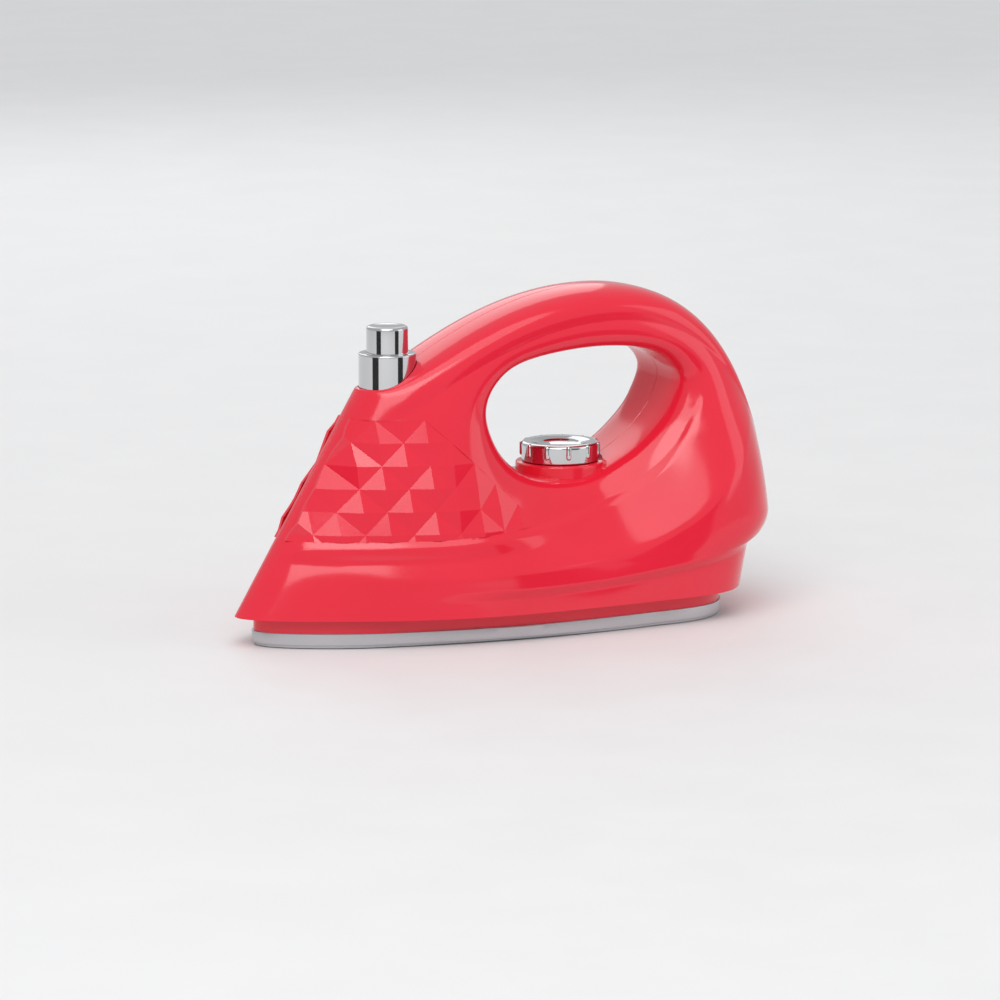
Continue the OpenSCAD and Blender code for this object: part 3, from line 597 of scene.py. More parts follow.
def stack(name: str, rings: Sequence[tuple[Array, float]]) -> bpy.types.Object:
    """Closed solid from rings of points at rising heights.

    Args:
        name: Name of the object.
        rings: Points in x and y, all of one count, and the height.

    Returns:
        The object.
    """
    n, m = len(rings[0][0]), len(rings)
    grid = np.stack([np.column_stack([p, np.full(n, z)]) for p, z in rings], 1)
    faces = strip_faces(n, m)
    faces.append(tuple(i * m for i in range(n))[::-1])
    faces.append(tuple(i * m + m - 1 for i in range(n)))
    return new_object(name, grid.reshape(-1, 3), faces)


def cylinder(name: str, at: Sequence[float], r: float, h: float, axis: str = "Z",
             n: int = 72) -> bpy.types.Object:
    """Plain cylinder as a cutter or a boss.

    Args:
        name: Name of the object.
        at: Middle of the first end.
        r: Radius.
        h: Length.
        axis: Z or Y.
        n: Number of sides.

    Returns:
        The object.
    """
    a = 2 * np.pi * (steps(n) + 0.5 / n)
    ring = np.stack([r * np.cos(a), r * np.sin(a)], 1)
    obj = stack(name, [(ring, 0.0), (ring, h)])
    turn = Matrix.Rotation(-math.pi / 2, 4, "X") if axis == "Y" else Matrix.Identity(4)
    obj.data.transform(Matrix.Translation(Vector(at) * MM) @ turn)
    return obj


def block(name: str, lo: Sequence[float], hi: Sequence[float], bevel: float = 0.0) -> bpy.types.Object:
    """Block with rounded edges.

    Args:
        name: Name of the object.
        lo: Lowest corner.
        hi: Highest corner.
        bevel: Radius of the edges.

    Returns:
        The object.
    """
    ring = np.array([[lo[0], lo[1]], [hi[0], lo[1]], [hi[0], hi[1]], [lo[0], hi[1]]], float)
    obj = stack(name, [(ring, lo[2]), (ring, hi[2])])
    if bevel:
        bm = bmesh.new()
        bm.from_mesh(obj.data)
        bmesh.ops.bevel(bm, geom=bm.edges[:], offset=bevel * MM, segments=3, profile=0.5, affect="EDGES")
        bm.to_mesh(obj.data)
        bm.free()
    return obj


def join(name: str, objs: Sequence[bpy.types.Object]) -> bpy.types.Object:
    """Puts several meshes into one object and removes the others.

    Args:
        name: Name of the result.
        objs: Mesh objects at the origin.

    Returns:
        The object.
    """
    bm = bmesh.new()
    for o in objs:
        bm.from_mesh(o.data)
    mesh = bpy.data.meshes.new(name)
    bm.to_mesh(mesh)
    bm.free()
    for o in objs:
        bpy.data.objects.remove(o, do_unlink=True)
    obj = bpy.data.objects.new(name, mesh)
    bpy.context.scene.collection.objects.link(obj)
    return obj


def settle(obj: bpy.types.Object) -> bpy.types.Object:
    """Turns an object with modifiers into a plain mesh.

    Args:
        obj: The object.

    Returns:
        The same object.
    """
    bpy.context.view_layer.update()
    graph = bpy.context.evaluated_depsgraph_get()
    final = obj.evaluated_get(graph)
    mesh = bpy.data.meshes.new_from_object(final, preserve_all_data_layers=True, depsgraph=graph)
    obj.modifiers.clear()
    obj.data = mesh
    return obj


def carve(obj: bpy.types.Object, tool: bpy.types.Object, how: str = "DIFFERENCE") -> bpy.types.Object:
    """Cuts a solid with another, or adds it, and removes the other.

    Args:
        obj: The solid.
        tool: The other solid.
        how: DIFFERENCE, UNION or INTERSECT.

    Returns:
        The solid.
    """
    mod = obj.modifiers.new("carve", "BOOLEAN")
    mod.operation, mod.solver, mod.object = how, "EXACT", tool
    mod.material_mode = "TRANSFER"
    settle(obj)
    bpy.data.objects.remove(tool, do_unlink=True)
    return obj


def smooth(obj: bpy.types.Object, angle: float = 28.0, facet: int = -1) -> None:
    """Smooth shading with sharp edges, and flat faces for one material slot.

    Args:
        obj: Mesh object.
        angle: Edges above this angle in degrees stay sharp.
        facet: Slot whose faces are flat.
    """
    mesh = obj.data
    mesh.shade_smooth()
    mesh.set_sharp_from_angle(angle=math.radians(angle))
    if facet >= 0:
        for p in mesh.polygons:
            if p.material_index == facet:
                p.use_smooth = False


# Shader and geometry node graphs


class Wire:
    """A socket of a node graph that takes part in sums and products."""

    def __init__(self, graph: "Graph", socket: bpy.types.NodeSocket) -> None:
        """Keeps the graph and the socket."""
        self.graph, self.socket = graph, socket

    def _math(self, how: str, *values: Any) -> "Wire":
        """Adds a Math node."""
        return self.graph.add("Math", {"operation": how}, dict(enumerate(values)))

    def __add__(self, other: Any) -> "Wire":
        """Sum with another value."""
        return self._math("ADD", self, other)

    def __radd__(self, other: Any) -> "Wire":
        """Sum with a plain value before it."""
        return self._math("ADD", other, self)

    def __sub__(self, other: Any) -> "Wire":
        """Difference from another value."""
        return self._math("SUBTRACT", self, other)

    def __rsub__(self, other: Any) -> "Wire":
        """Difference from a plain value before it."""
        return self._math("SUBTRACT", other, self)

    def __mul__(self, other: Any) -> "Wire":
        """Product with another value."""
        return self._math("MULTIPLY", self, other)

    def __rmul__(self, other: Any) -> "Wire":
        """Product with a plain value before it."""
        return self._math("MULTIPLY", other, self)

    def __truediv__(self, other: Any) -> "Wire":
        """Quotient by another value."""
        return self._math("DIVIDE", self, other)

    def __rtruediv__(self, other: Any) -> "Wire":
        """Quotient of a plain value by it."""
        return self._math("DIVIDE", other, self)

    def __pow__(self, other: Any) -> "Wire":
        """Power to another value."""
        return self._math("POWER", self, other)

    def __rpow__(self, other: Any) -> "Wire":
        """Power of a plain value to it."""
        return self._math("POWER", other, self)

    def sign(self) -> "Wire":
        """Minus one, nought or one."""
        return self._math("SIGN", self)

    def step(self, lo: float, hi: float) -> "Wire":
        """Smooth step from lo to hi."""
        return self.graph.add("MapRange", {"interpolation_type": "SMOOTHSTEP"},
                              {"Value": self, "From Min": lo, "From Max": hi})


class Graph:
    """A node graph that is built with short calls."""

    def __init__(self, tree: bpy.types.NodeTree) -> None:
        """Starts from an empty tree.

        Args:
            tree: Tree of a material, a world or a geometry group.
        """
        self.tree = tree
        tree.nodes.clear()
        self.prefix = "GeometryNode" if tree.bl_idname == "GeometryNodeTree" else "ShaderNode"

    def add(self, kind: str, settings: dict[str, Any] | None = None, sockets: dict[Any, Any] | None = None,
            out: Any = 0) -> Wire:
        """Adds a node.

        Args:
            kind: Type of the node, with or without its prefix.
            settings: Properties of the node, set first.
            sockets: Values or wires by socket name or place.
            out: Output that the wire stands for.

        Returns:
            The wire of that output.
        """
        if kind in ("Math", "MapRange", "Mix", "CombineXYZ", "SeparateXYZ", "VectorMath"):
            kind = "ShaderNode" + kind
        elif not kind.startswith(("ShaderNode", "GeometryNode", "FunctionNode", "NodeGroup")):
            kind = self.prefix + kind
        node = self.tree.nodes.new(kind)
        for key, value in (settings or {}).items():
            setattr(node, key, value)
        for key, value in (sockets or {}).items():
            for one in value if isinstance(value, list) else [value]:
                self.feed(node.inputs[key], one)
        return Wire(self, node.outputs[out]) if node.outputs else Wire(self, node.inputs[0])

    def feed(self, socket: bpy.types.NodeSocket, value: Any) -> None:
        """Links a wire to a socket, or sets its value.

        Args:
            socket: Input of a node.
            value: A wire or a plain value.
        """
        if isinstance(value, Wire):
            self.tree.links.new(value.socket, socket)
        else:
            socket.default_value = value

    def blend(self, a: Any, b: Any, t: Any) -> Wire:
        """Mixes two colours."""
        return self.add("Mix", {"data_type": "RGBA"}, {0: t, 6: a, 7: b}, out=2)

    def noise(self, scale: float, detail: float = 2.0, stretch: Triple = (1.0, 1.0, 1.0)) -> Wire:
        """Noise in the object's own frame.

        Args:
            scale: Size of the pattern, per metre.
            detail: Octaves.
            stretch: Scale per axis.

        Returns:
            Value from 0 to 1.
        """
        place = self.add("TexCoord", out="Object")
        place = self.add("VectorMath", {"operation": "MULTIPLY"}, {0: place, 1: stretch})
        return self.add("TexNoise", None, {"Vector": place, "Scale": scale, "Detail": detail})


@dataclass(frozen=True)
class Finish:
    """How one material looks."""

    name: str
    colour: Triple
    second: Triple
    surface: Surface
    rough: float = 0.3
    metallic: float = 0.0
    coat: float = 0.0
    grain: float = 300.0
    bump: float = 0.05

    def material(self) -> bpy.types.Material:
        """Builds the material, or returns it if it exists.

        Returns:
            The material.
        """
        own = f"{self.name}_finish"
        if own in bpy.data.materials:
            return bpy.data.materials[own]
        mat = bpy.data.materials.new(own)
        mat.use_nodes = True
        mat.diffuse_color = (*self.colour, 1.0)
        g = Graph(mat.node_tree)
        stretch = (1.0, 14.0, 14.0) if self.surface is Surface.BRUSHED else (1.0, 1.0, 1.0)
        broad = g.noise(22.0, 3.0)
        fine = g.noise(self.grain, 2.0, stretch)
        share = broad.step(0.3, 0.75)
        if self.surface is Surface.WRAP:
            x = g.add("SeparateXYZ", None, {0: g.add("TexCoord", out="Object")})
            share = x.step(0.017, 0.0172)
        elif self.surface in (Surface.SATIN, Surface.BRUSHED):
            share = 0.5 * share + 0.5 * fine
        colour = g.blend((*self.colour, 1.0), (*self.second, 1.0), share)
        rough = self.rough * (0.8 + 0.25 * broad + 0.2 * fine)
        bump = g.add("Bump", None, {"Strength": self.bump, "Distance": 0.0003, "Height": fine}, out="Normal")
        shader = g.add("BsdfPrincipled", None, {
            "Base Color": colour, "Roughness": rough, "Normal": bump, "Metallic": self.metallic,
            "Coat Weight": self.coat, "Coat Roughness": 0.06, "IOR": 1.5})
        g.add("OutputMaterial", None, {"Surface": shader})
        return mat


class Finishes:
    """The finishes of the object, by the record's slot names, and those of the studio."""

    RED = Finish("red_plastic", (0.76, 0.016, 0.040), (0.80, 0.019, 0.046), Surface.GLOSS,
                 rough=0.12, coat=0.1, grain=700.0, bump=0.02)
    FACET = Finish("red_facets", (0.76, 0.016, 0.040), (0.80, 0.019, 0.046), Surface.GLOSS,
                   rough=0.11, coat=0.1, grain=700.0, bump=0.015)
    CHROME = Finish("chrome_plating", (0.66, 0.66, 0.67), (0.60, 0.605, 0.615), Surface.PLATED,
                    rough=0.05, metallic=1.0, grain=240.0, bump=0.01)
    SILVER = Finish("silver_plastic", (0.50, 0.51, 0.53), (0.60, 0.61, 0.63), Surface.SATIN,
                    rough=0.36, metallic=0.55, coat=0.1, grain=1600.0, bump=0.05)
    STEEL = Finish("steel", (0.60, 0.60, 0.61), (0.48, 0.48, 0.50), Surface.BRUSHED,
                   rough=0.28, metallic=1.0, grain=420.0, bump=0.06)
    MOTOR = Finish("motor_steel", (0.55, 0.55, 0.54), (0.66, 0.66, 0.64), Surface.BRUSHED,
                   rough=0.34, metallic=1.0, grain=300.0, bump=0.08)
    DARK = Finish("dark_plastic", (0.020, 0.020, 0.022), (0.032, 0.032, 0.034), Surface.SATIN,
                  rough=0.45, grain=1400.0, bump=0.15)
    WRAP = Finish("cell_wrap", (0.03, 0.03, 0.035), (0.48, 0.22, 0.08), Surface.WRAP,
                  rough=0.30, metallic=0.3, coat=0.3, grain=500.0, bump=0.02)
    BRASS = Finish("brass", (0.66, 0.46, 0.16), (0.58, 0.38, 0.12), Surface.BRUSHED,
                   rough=0.27, metallic=1.0, grain=360.0, bump=0.05)
    SWITCH = Finish("switch_red", (0.50, 0.02, 0.03), (0.42, 0.015, 0.025), Surface.SATIN,
                    rough=0.40, grain=1200.0, bump=0.08)
    LEAD_RED = Finish("lead_red", (0.50, 0.015, 0.015), (0.58, 0.025, 0.02), Surface.SATIN,
                      rough=0.42, grain=900.0, bump=0.06)
    LEAD_BLUE = Finish("lead_blue", (0.02, 0.05, 0.32), (0.03, 0.07, 0.40), Surface.SATIN,
                       rough=0.42, grain=900.0, bump=0.06)
    LEAD_BLACK = Finish("lead_black", (0.015, 0.015, 0.016), (0.028, 0.028, 0.03), Surface.SATIN,
                        rough=0.42, grain=900.0, bump=0.06)
    FLOOR = Finish("pale_floor", (0.80, 0.80, 0.80), (0.83, 0.83, 0.83), Surface.SATIN,
                   rough=0.7, grain=60.0, bump=0.0)
    CARD = Finish("dark_card", (0.03, 0.03, 0.03), (0.04, 0.04, 0.04), Surface.SATIN,
                  rough=0.8, grain=60.0, bump=0.0)


class Pattern:
    """A geometry node group with named inputs, run once on an object."""

    def __init__(self, name: str, ints: Sequence[str] = (), floats: Sequence[str] = (),
                 vectors: Sequence[str] = ()) -> None:
        """Starts a group with a geometry, the named inputs and a material.

        Args:
            name: Name of the group.
            ints: Inputs that are whole numbers.
            floats: Inputs that are numbers.
            vectors: Inputs that are vectors.
        """
        kinds = {"Int": ints, "Float": floats, "Vector": vectors, "Material": ("Material",)}
        self.tree = bpy.data.node_groups.new(name, "GeometryNodeTree")
        face = self.tree.interface
        face.new_socket("Geometry", in_out="OUTPUT", socket_type="NodeSocketGeometry")
        face.new_socket("Geometry", in_out="INPUT", socket_type="NodeSocketGeometry")
        self.ids = {n: face.new_socket(n, in_out="INPUT", socket_type=f"NodeSocket{kind}").identifier
                    for kind, names in kinds.items() for n in names}
        self.graph = Graph(self.tree)
        node = self.tree.nodes.new("NodeGroupInput")
        self.ins = {s.name: Wire(self.graph, s) for s in node.outputs if s.name}

    def end(self, geometry: Wire) -> None:
        """Realizes, sets the material and ends the group.

        Args:
            geometry: What the group gives.
        """
        g = self.graph
        real = g.add("RealizeInstances", None, {0: geometry})
        done = g.add("SetMaterial", None, {"Geometry": real, "Material": self.ins["Material"]})
        node = self.tree.nodes.new("NodeGroupOutput")
        g.feed(node.inputs[0], done)

    def run(self, obj: bpy.types.Object, values: dict[str, Any]) -> bpy.types.Object:
        """Runs the group on an object and keeps the plain mesh.

        Args:
            obj: Mesh object.
            values: Value per input.

        Returns:
            The object.
        """
        mod = obj.modifiers.new(self.tree.name, "NODES")
        mod.node_group = self.tree
        for name, value in values.items():
            mod[self.ids[name]] = value
        return settle(obj)


class Patterns:
    """The node groups that the pieces share."""

    def __init__(self) -> None:
        """Builds all groups."""
        self.grips = self._grips()
        self.screws = self._screws()
        self.coil = self._coil()

    @staticmethod
    def _grips() -> Pattern:
        """Ring of drop-shaped grips that joins the mesh it runs on.

        Returns:
            The group.
        """
        p = Pattern("grip_ring", ["Count"], ["Ring", "Drop", "Reach"], ["Place", "Turn"])
        g, i = p.graph, p.ins
        ball = g.add("MeshUVSphere", None, {"Segments": 32, "Rings": 24, "Radius": i["Drop"]})
        z = g.add("SeparateXYZ", None, {0: g.add("InputPosition")}, out="Z")
        lift = g.add("CombineXYZ", None, {"Z": z.sign() * i["Reach"] * 0.5})
        drop = g.add("SetPosition", None, {"Geometry": ball, "Offset": lift})
        ring = g.add("MeshCircle", None, {"Vertices": i["Count"], "Radius": i["Ring"]})
        many = g.add("InstanceOnPoints", None, {"Points": ring, "Instance": drop})
        turn = g.add("FunctionNodeEulerToRotation", None, {0: i["Turn"]})
        many = g.add("Transform", None, {"Geometry": many, "Translation": i["Place"], "Rotation": turn})
        p.end(g.add("JoinGeometry", None, {0: [i["Geometry"], many]}))
        return p

    @staticmethod
    def _screws() -> Pattern:
        """Pan head screws with a cross recess, one on each point of the mesh.

        Returns:
            The group.
        """
        p = Pattern("screw_set", floats=["Head", "Rise", "Shank", "Length"], vectors=["Turn"])
        g, i = p.graph, p.ins
        ball = g.add("MeshUVSphere", None, {"Segments": 40, "Rings": 24, "Radius": i["Head"]})
        place = g.add("InputPosition")
        z = g.add("SeparateXYZ", None, {0: place}, out="Z")
        z = g.add("Math", {"operation": "MAXIMUM"}, {0: z, 1: 0.0})
        flat = z * i["Rise"] / i["Head"]
        x = g.add("SeparateXYZ", None, {0: place}, out="X")
        y = g.add("SeparateXYZ", None, {0: place}, out="Y")
        low = g.add("CombineXYZ", None, {0: x, 1: y, 2: flat})
        head = g.add("SetPosition", None, {"Geometry": ball, "Position": low})
        head = g.add("MergeByDistance", None, {"Geometry": head, "Distance": 1e-6})
        bars = []
        for long, wide in ((1.15, 0.3), (0.3, 1.15)):
            size = g.add("CombineXYZ", None, {0: i["Head"] * long, 1: i["Head"] * wide, 2: i["Rise"] * 1.2})
            cube = g.add("MeshCube", None, {"Size": size})
            up = g.add("CombineXYZ", None, {2: i["Rise"] * 1.05})
            bars.append(g.add("Transform", None, {"Geometry": cube, "Translation": up}))
        cut = g.add("MeshBoolean", {"operation": "DIFFERENCE", "solver": "EXACT"}, {0: head, 1: bars})
        shank = g.add("MeshCylinder", None, {"Vertices": 28, "Radius": i["Shank"], "Depth": i["Length"]})
        down = g.add("CombineXYZ", None, {2: i["Length"] * -0.5 - 0.00002})
        shank = g.add("Transform", None, {"Geometry": shank, "Translation": down})
        one = g.add("JoinGeometry", None, {0: [cut, shank]})
        turn = g.add("FunctionNodeEulerToRotation", None, {0: i["Turn"]})
        p.end(g.add("InstanceOnPoints", None, {"Points": i["Geometry"], "Instance": one, "Rotation": turn}))
        return p

    @staticmethod
    def _coil() -> Pattern:
        """Round wire wound as a spring.

        Returns:
            The group.
        """
        p = Pattern("coil", floats=["Turns", "Radius", "Height", "Wire"], vectors=["Place"])
        g, i = p.graph, p.ins
        way = g.add("CurveSpiral", None, {
            "Resolution": 36, "Rotations": i["Turns"], "Start Radius": i["Radius"], "End Radius": i["Radius"],
            "Height": i["Height"]})
        round_ = g.add("CurvePrimitiveCircle", None, {"Resolution": 14, "Radius": i["Wire"]})
        tube = g.add("CurveToMesh", None, {"Curve": way, "Profile Curve": round_, "Fill Caps": True})
        p.end(g.add("Transform", None, {"Geometry": tube, "Translation": i["Place"]}))
        return p


# Sub-assemblies


def hand_over(obj: bpy.types.Object, body: Body, nodes: Sequence[str]) -> bpy.types.Object:
    """Gives a finished piece to the frame.

    Args:
        obj: The piece.
        body: Body that it rides on.
        nodes: CAD nodes that it stands for.

    Returns:
        The piece.
    """
    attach(obj, body.value)
    if nodes:
        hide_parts(*nodes)
    LOG.info("%s: %d faces, stands for %s", obj.name, len(obj.data.polygons), ", ".join(nodes) or "nothing")
    return obj


def paint(obj: bpy.types.Object, *finishes: Finish) -> None:
    """Puts finishes on an object, one per slot.

    Args:
        obj: Mesh object.
        finishes: Finishes in slot order.
    """
    obj.data.materials.clear()
    for f in finishes:
        obj.data.materials.append(f.material())


def complete(obj: bpy.types.Object, body: Body, finish: Finish, node: str,
             angle: float = 30.0) -> bpy.types.Object:
    """Dresses a piece of one finish and gives it to the frame.

    Args:
        obj: The piece.
        body: Body that it rides on.
        finish: Its finish.
        node: CAD node that it stands for.
        angle: Edges above this angle in degrees stay sharp.

    Returns:
        The piece.
    """
    paint(obj, finish)
    smooth(obj, angle)
    return hand_over(obj, body, [node])


@dataclass
class DiamondPanel:
    """Faceted panel on the side of the nose: points stand out, the edges between them lie in the surface."""

    form: BodyForm
    width: float = 15.5
    height: float = 15.2
    rise: float = 1.0
    sunk: float = 0.15
    back: float = 16.4
    under: float = 9.3
    long: float = 5.35
    brink: float = 0.8
    counts: tuple[int, int] = (12, 7)

    def __post_init__(self) -> None:
        """Works out where the lattice starts and ends."""
        self.x = self.form.nose_x + self.back
        self.top = self.form.nose_h - self.under
        self.z = self.top - 3 * self.height
        self.tip = self.x + self.long * self.width

    def layer(self, lo: float, hi: float, grow: float, side: Side) -> bpy.types.Object:
        """Part of the body between two levels over the facets.

        Args:
            lo: Lower level, across the side.
            hi: Upper level.
            grow: How far the outline moves out.
            side: Half of the case.

        Returns:
            The solid, with the facets in the second material slot.
        """
        f = self.form
        n, m = self.counts
        k, j = np.meshgrid(np.arange(n), np.arange(m), indexing="ij")
        x, z = self.x + k * self.width / 2, self.z + j * self.height / 2
        line = f.nose_x + (z - f.sole) * f.lean
        slope = self.width / self.height
        rest = self.x + 3 * self.width + (self.top - z) * slope - x
        fade = np.clip(rest / 26, 0, 1)
        proud = self.rise * np.clip((x - line) / 6, 0, 1) * mix(0.3, 1.0, fade)
        sunk = self.sunk * mix(0.2, 1.0, fade)
        y = f.y_at(np.maximum(x, line + self.brink), z) - sunk + np.where((k + j) % 2 == 1, proud, 0.0)
        points = np.concatenate([np.stack([x, y + level, z], 2).reshape(-1, 3) for level in (lo, hi)])
        faces: list[tuple[int, ...]] = []
        for a in range(n - 1):
            for b in range(m - 1):
                q = (m * a + b, m * a + m + b, m * a + m + b + 1, m * a + b + 1)
                pair = ((0, 2, 1), (0, 3, 2)) if (a + b) % 2 == 0 else ((0, 3, 1), (1, 3, 2))
                for t in pair:
                    faces.append(tuple(q[s] for s in t)[::-1])
                    faces.append(tuple(q[s] + n * m for s in t))
        rim = [m * a for a in range(n)] + [m * (n - 1) + b for b in range(1, m)]
        rim += [m * a + m - 1 for a in range(n - 2, -1, -1)] + list(range(m - 2, 0, -1))
        for s, t in zip(rim, rim[1:] + rim[:1]):
            faces.append((s, t, t + n * m, s + n * m))
        field_ = new_object("gem_field", points, faces)
        weld(field_)
        bound = self._bound(grow)
        c = len(bound)
        prism = np.concatenate([np.insert(bound, 1, 0.0, 1), np.insert(bound, 1, 60.0, 1)])
        sides = [(i, (i + 1) % c, c + (i + 1) % c, c + i) for i in range(c)]
        limit = new_object("gem_limit", prism, sides + [tuple(range(c))[::-1], tuple(range(c, 2 * c))])
        weld(limit)
        part = carve(field_, limit, "INTERSECT")
        paint(part, Finishes.RED, Finishes.FACET)
        for p in part.data.polygons:
            p.material_index = 1
        if side is Side.LEFT:
            flip(part)
        return part

    def press(self, obj: bpy.types.Object, side: Side) -> None:
        """Sets the panel into one half of the case."""
        carve(obj, self.layer(-0.5, 6.0, 0.0, side))
        carve(obj, self.layer(-1.5, 0.0, 0.06, side), "UNION")

    def _bound(self, grow: float) -> Array:
        """Outline of the panel in x and z.

        Args:
            grow: How far the outline moves out.

        Returns:
            Closed ring of points.
        """
        f, top = self.form, self.top - 0.1
        right = self.x + 3 * self.width
        x = np.append(np.arange(self.tip, self.x + 3, -3.0), self.x + 0.1)
        low = np.stack([x, f.edge_z(x, f.edge1) + 1.0 - grow], 1)
        low[0, 0] += grow
        corner = f.nose_x + (top - f.sole) * f.lean + self.brink
        end = self.top - (self.tip - right) * self.height / self.width
        start = [[corner - grow, top + grow], [right + grow, top + grow], [self.tip + grow, end]]
        return np.concatenate([start, low])


def flip(obj: bpy.types.Object) -> None:
    """Mirrors a mesh over the seam.

    Args:
        obj: Mesh object at the origin.
    """
    bm = bmesh.new()
    bm.from_mesh(obj.data)
    bmesh.ops.scale(bm, vec=(1, -1, 1), verts=bm.verts)
    bmesh.ops.reverse_faces(bm, faces=bm.faces)
    bm.to_mesh(obj.data)
    bm.free()


@dataclass
class Case:
    """The two moulded halves."""

    form: BodyForm
    seat_z: float = 54.9
    seat_t: float = 6.9
    seat_r: float = 15.3
    pocket_r: float = 14.8
    dial_x: float = 24.0
    collar_x: float = -42.6
    collar_r: float = 10.1
    well_r: float = 2.9
    well_y: float = 5.0
    screws: tuple[tuple[float, float], ...] = ((-70, 26), (-24.3, 71.5), (76, 86.5), (80, 52), (2, 103.5))

    def _half(self, side: Side) -> bpy.types.Object:
        """Closed skin of one half, before the cuts.

        Args:
            side: Which half.

        Returns:
            The half as a closed mesh.
        """
        out, lining = self.form.skin(), self.form.lining()
        n, m, k = len(out), out.shape[1], lining.shape[1]
        points = np.concatenate([out.reshape(-1, 3), lining.reshape(-1, 3)])
        faces = strip_faces(n, m, 0, True) + strip_faces(n, k, n * m)
        i = np.arange(n)
        j = (i + 1) % n
        inner = n * m
        far, deep = m - 1, inner + k - 1
        front = np.stack([i * m, inner + i * k, inner + j * k, j * m], 1)
        rim = np.stack([i * m + far, j * m + far, deep + j * k, deep + i * k], 1)
        faces += [tuple(q) for q in np.concatenate([front, rim])[:, ::-1]]
        obj = new_object(f"{side.name.lower()}_half", points, faces)
        weld(obj, 0.0005)
        if side is Side.LEFT:
            flip(obj)
        return obj

    def _seat(self, side: Side) -> bpy.types.Object:
        """Half of the low boss that carries the dial.

        Args:
            side: Which half.

        Returns:
            The half boss.
        """
        a = np.radians(np.linspace(0, 180, 73))
        r, z = self.seat_r, self.seat_z
        levels = [(r + 0.7, z - self.seat_t), (r + 0.2, z - 0.6), (r + 0.12, z - 0.3), (r - 0.08, z - 0.08),
                  (r - 0.3, z)]
        rings = [(np.stack([self.dial_x + q * np.cos(a), 0.05 + q * np.sin(a)], 1), h) for q, h in levels]
        seat = stack("seat", rings)
        weld(seat)
        if side is Side.LEFT:
            flip(seat)
        return seat

    def build(self, side: Side) -> bpy.types.Object:
        """Builds one half.

        Args:
            side: Which half.

        Returns:
            The half, given to the frame.
        """
        obj = self._half(side)
        paint(obj, Finishes.RED, Finishes.FACET)
        carve(obj, self._seat(side), "UNION")
        if side is Side.RIGHT:
            bosses = [cylinder("boss", (x, 0.2, z), 4.0, self._boss(x, z), "Y") for x, z in self.screws]
            carve(obj, join("boss_add", bosses), "UNION")
        cutters = [cylinder("pocket", (self.dial_x, 0, self.seat_z), self.pocket_r, 12, n=128),
                   cylinder("throat", (self.collar_x, 0, 79.0), self.collar_r, 40, n=96)]
        if side is Side.RIGHT:
            cutters += [cylinder("well", (x, self.well_y, z), self.well_r, 60, "Y") for x, z in self.screws]
        tool = join("cutters", cutters)
        carve(obj, tool)
        DiamondPanel(self.form).press(obj, side)
        smooth(obj, 28.0, 1)
        obj.name = obj.data.name = f"{side.name.lower()}_half"
        return hand_over(obj, Body.CASE, [f"{side.name.lower()}_shell"])

    def _boss(self, x: float, z: float) -> float:
        """Length of a screw boss, ending inside the wall.

        Args:
            x: Place along the body.
            z: Height.

        Returns:
            The length.
        """
        r = 4.0
        ends = [self.form.y_at(x + a, z + b) for a, b in ((r, 0), (-r, 0), (0, r), (0, -r))]
        return float(min(ends)) - 1.3


@dataclass
class Dial:
    """Chrome dial with drop-shaped grips."""

    patterns: Patterns
    x: float = 24.0
    low: float = 55.2
    radius: float = 14.2
    height: float = 6.6
    grips: int = 11
    grip_r: float = 1.0
    grip_foot: float = 0.24
    phase: float = 0.82
    dish: float = 1.5

    def build(self) -> bpy.types.Object:
        """Builds the dial.

        Returns:
            The dial, given to the frame.
        """
        r, z = self.radius, self.low
        rim = z + self.height
        floor = rim - self.dish
        profile = [(0, z), (r - 1.3, z)] + arc((r - 1.2, z + 0.5), 0.5, -75, 0, 5)
        profile += [(r - 0.55, rim - 1.3)] + arc((r - 1.75, rim - 1.2), 1.2, 0, 90, 10)
        profile += [(r - 3.4, rim)] + arc((r - 3.6, rim - 0.3), 0.3, 90, 130, 4) + [(0.56 * r, floor + 1.0)]
        profile += [(0.53 * r, floor + 0.75), (0.505 * r, floor + 0.25), (0.47 * r, floor + 0.05), (0, floor)]
        obj = lathe("dial", profile, (self.x, 0.0), 220)
        drop = self.grip_r
        top = rim + 0.05
        base = z + self.height * self.grip_foot
        self.patterns.grips.run(obj, {
            "Count": self.grips, "Ring": (r - drop) * MM, "Drop": drop * MM,
            "Reach": (top - base - 2 * drop) * MM, "Place": (self.x * MM, 0.0, (top + base) / 2 * MM),
            "Turn": (0.0, 0.0, 2 * math.pi * self.phase / self.grips),
            "Material": Finishes.CHROME.material()})
        return complete(obj, Body.DIAL, Finishes.CHROME, "dial_knob", 40.0)


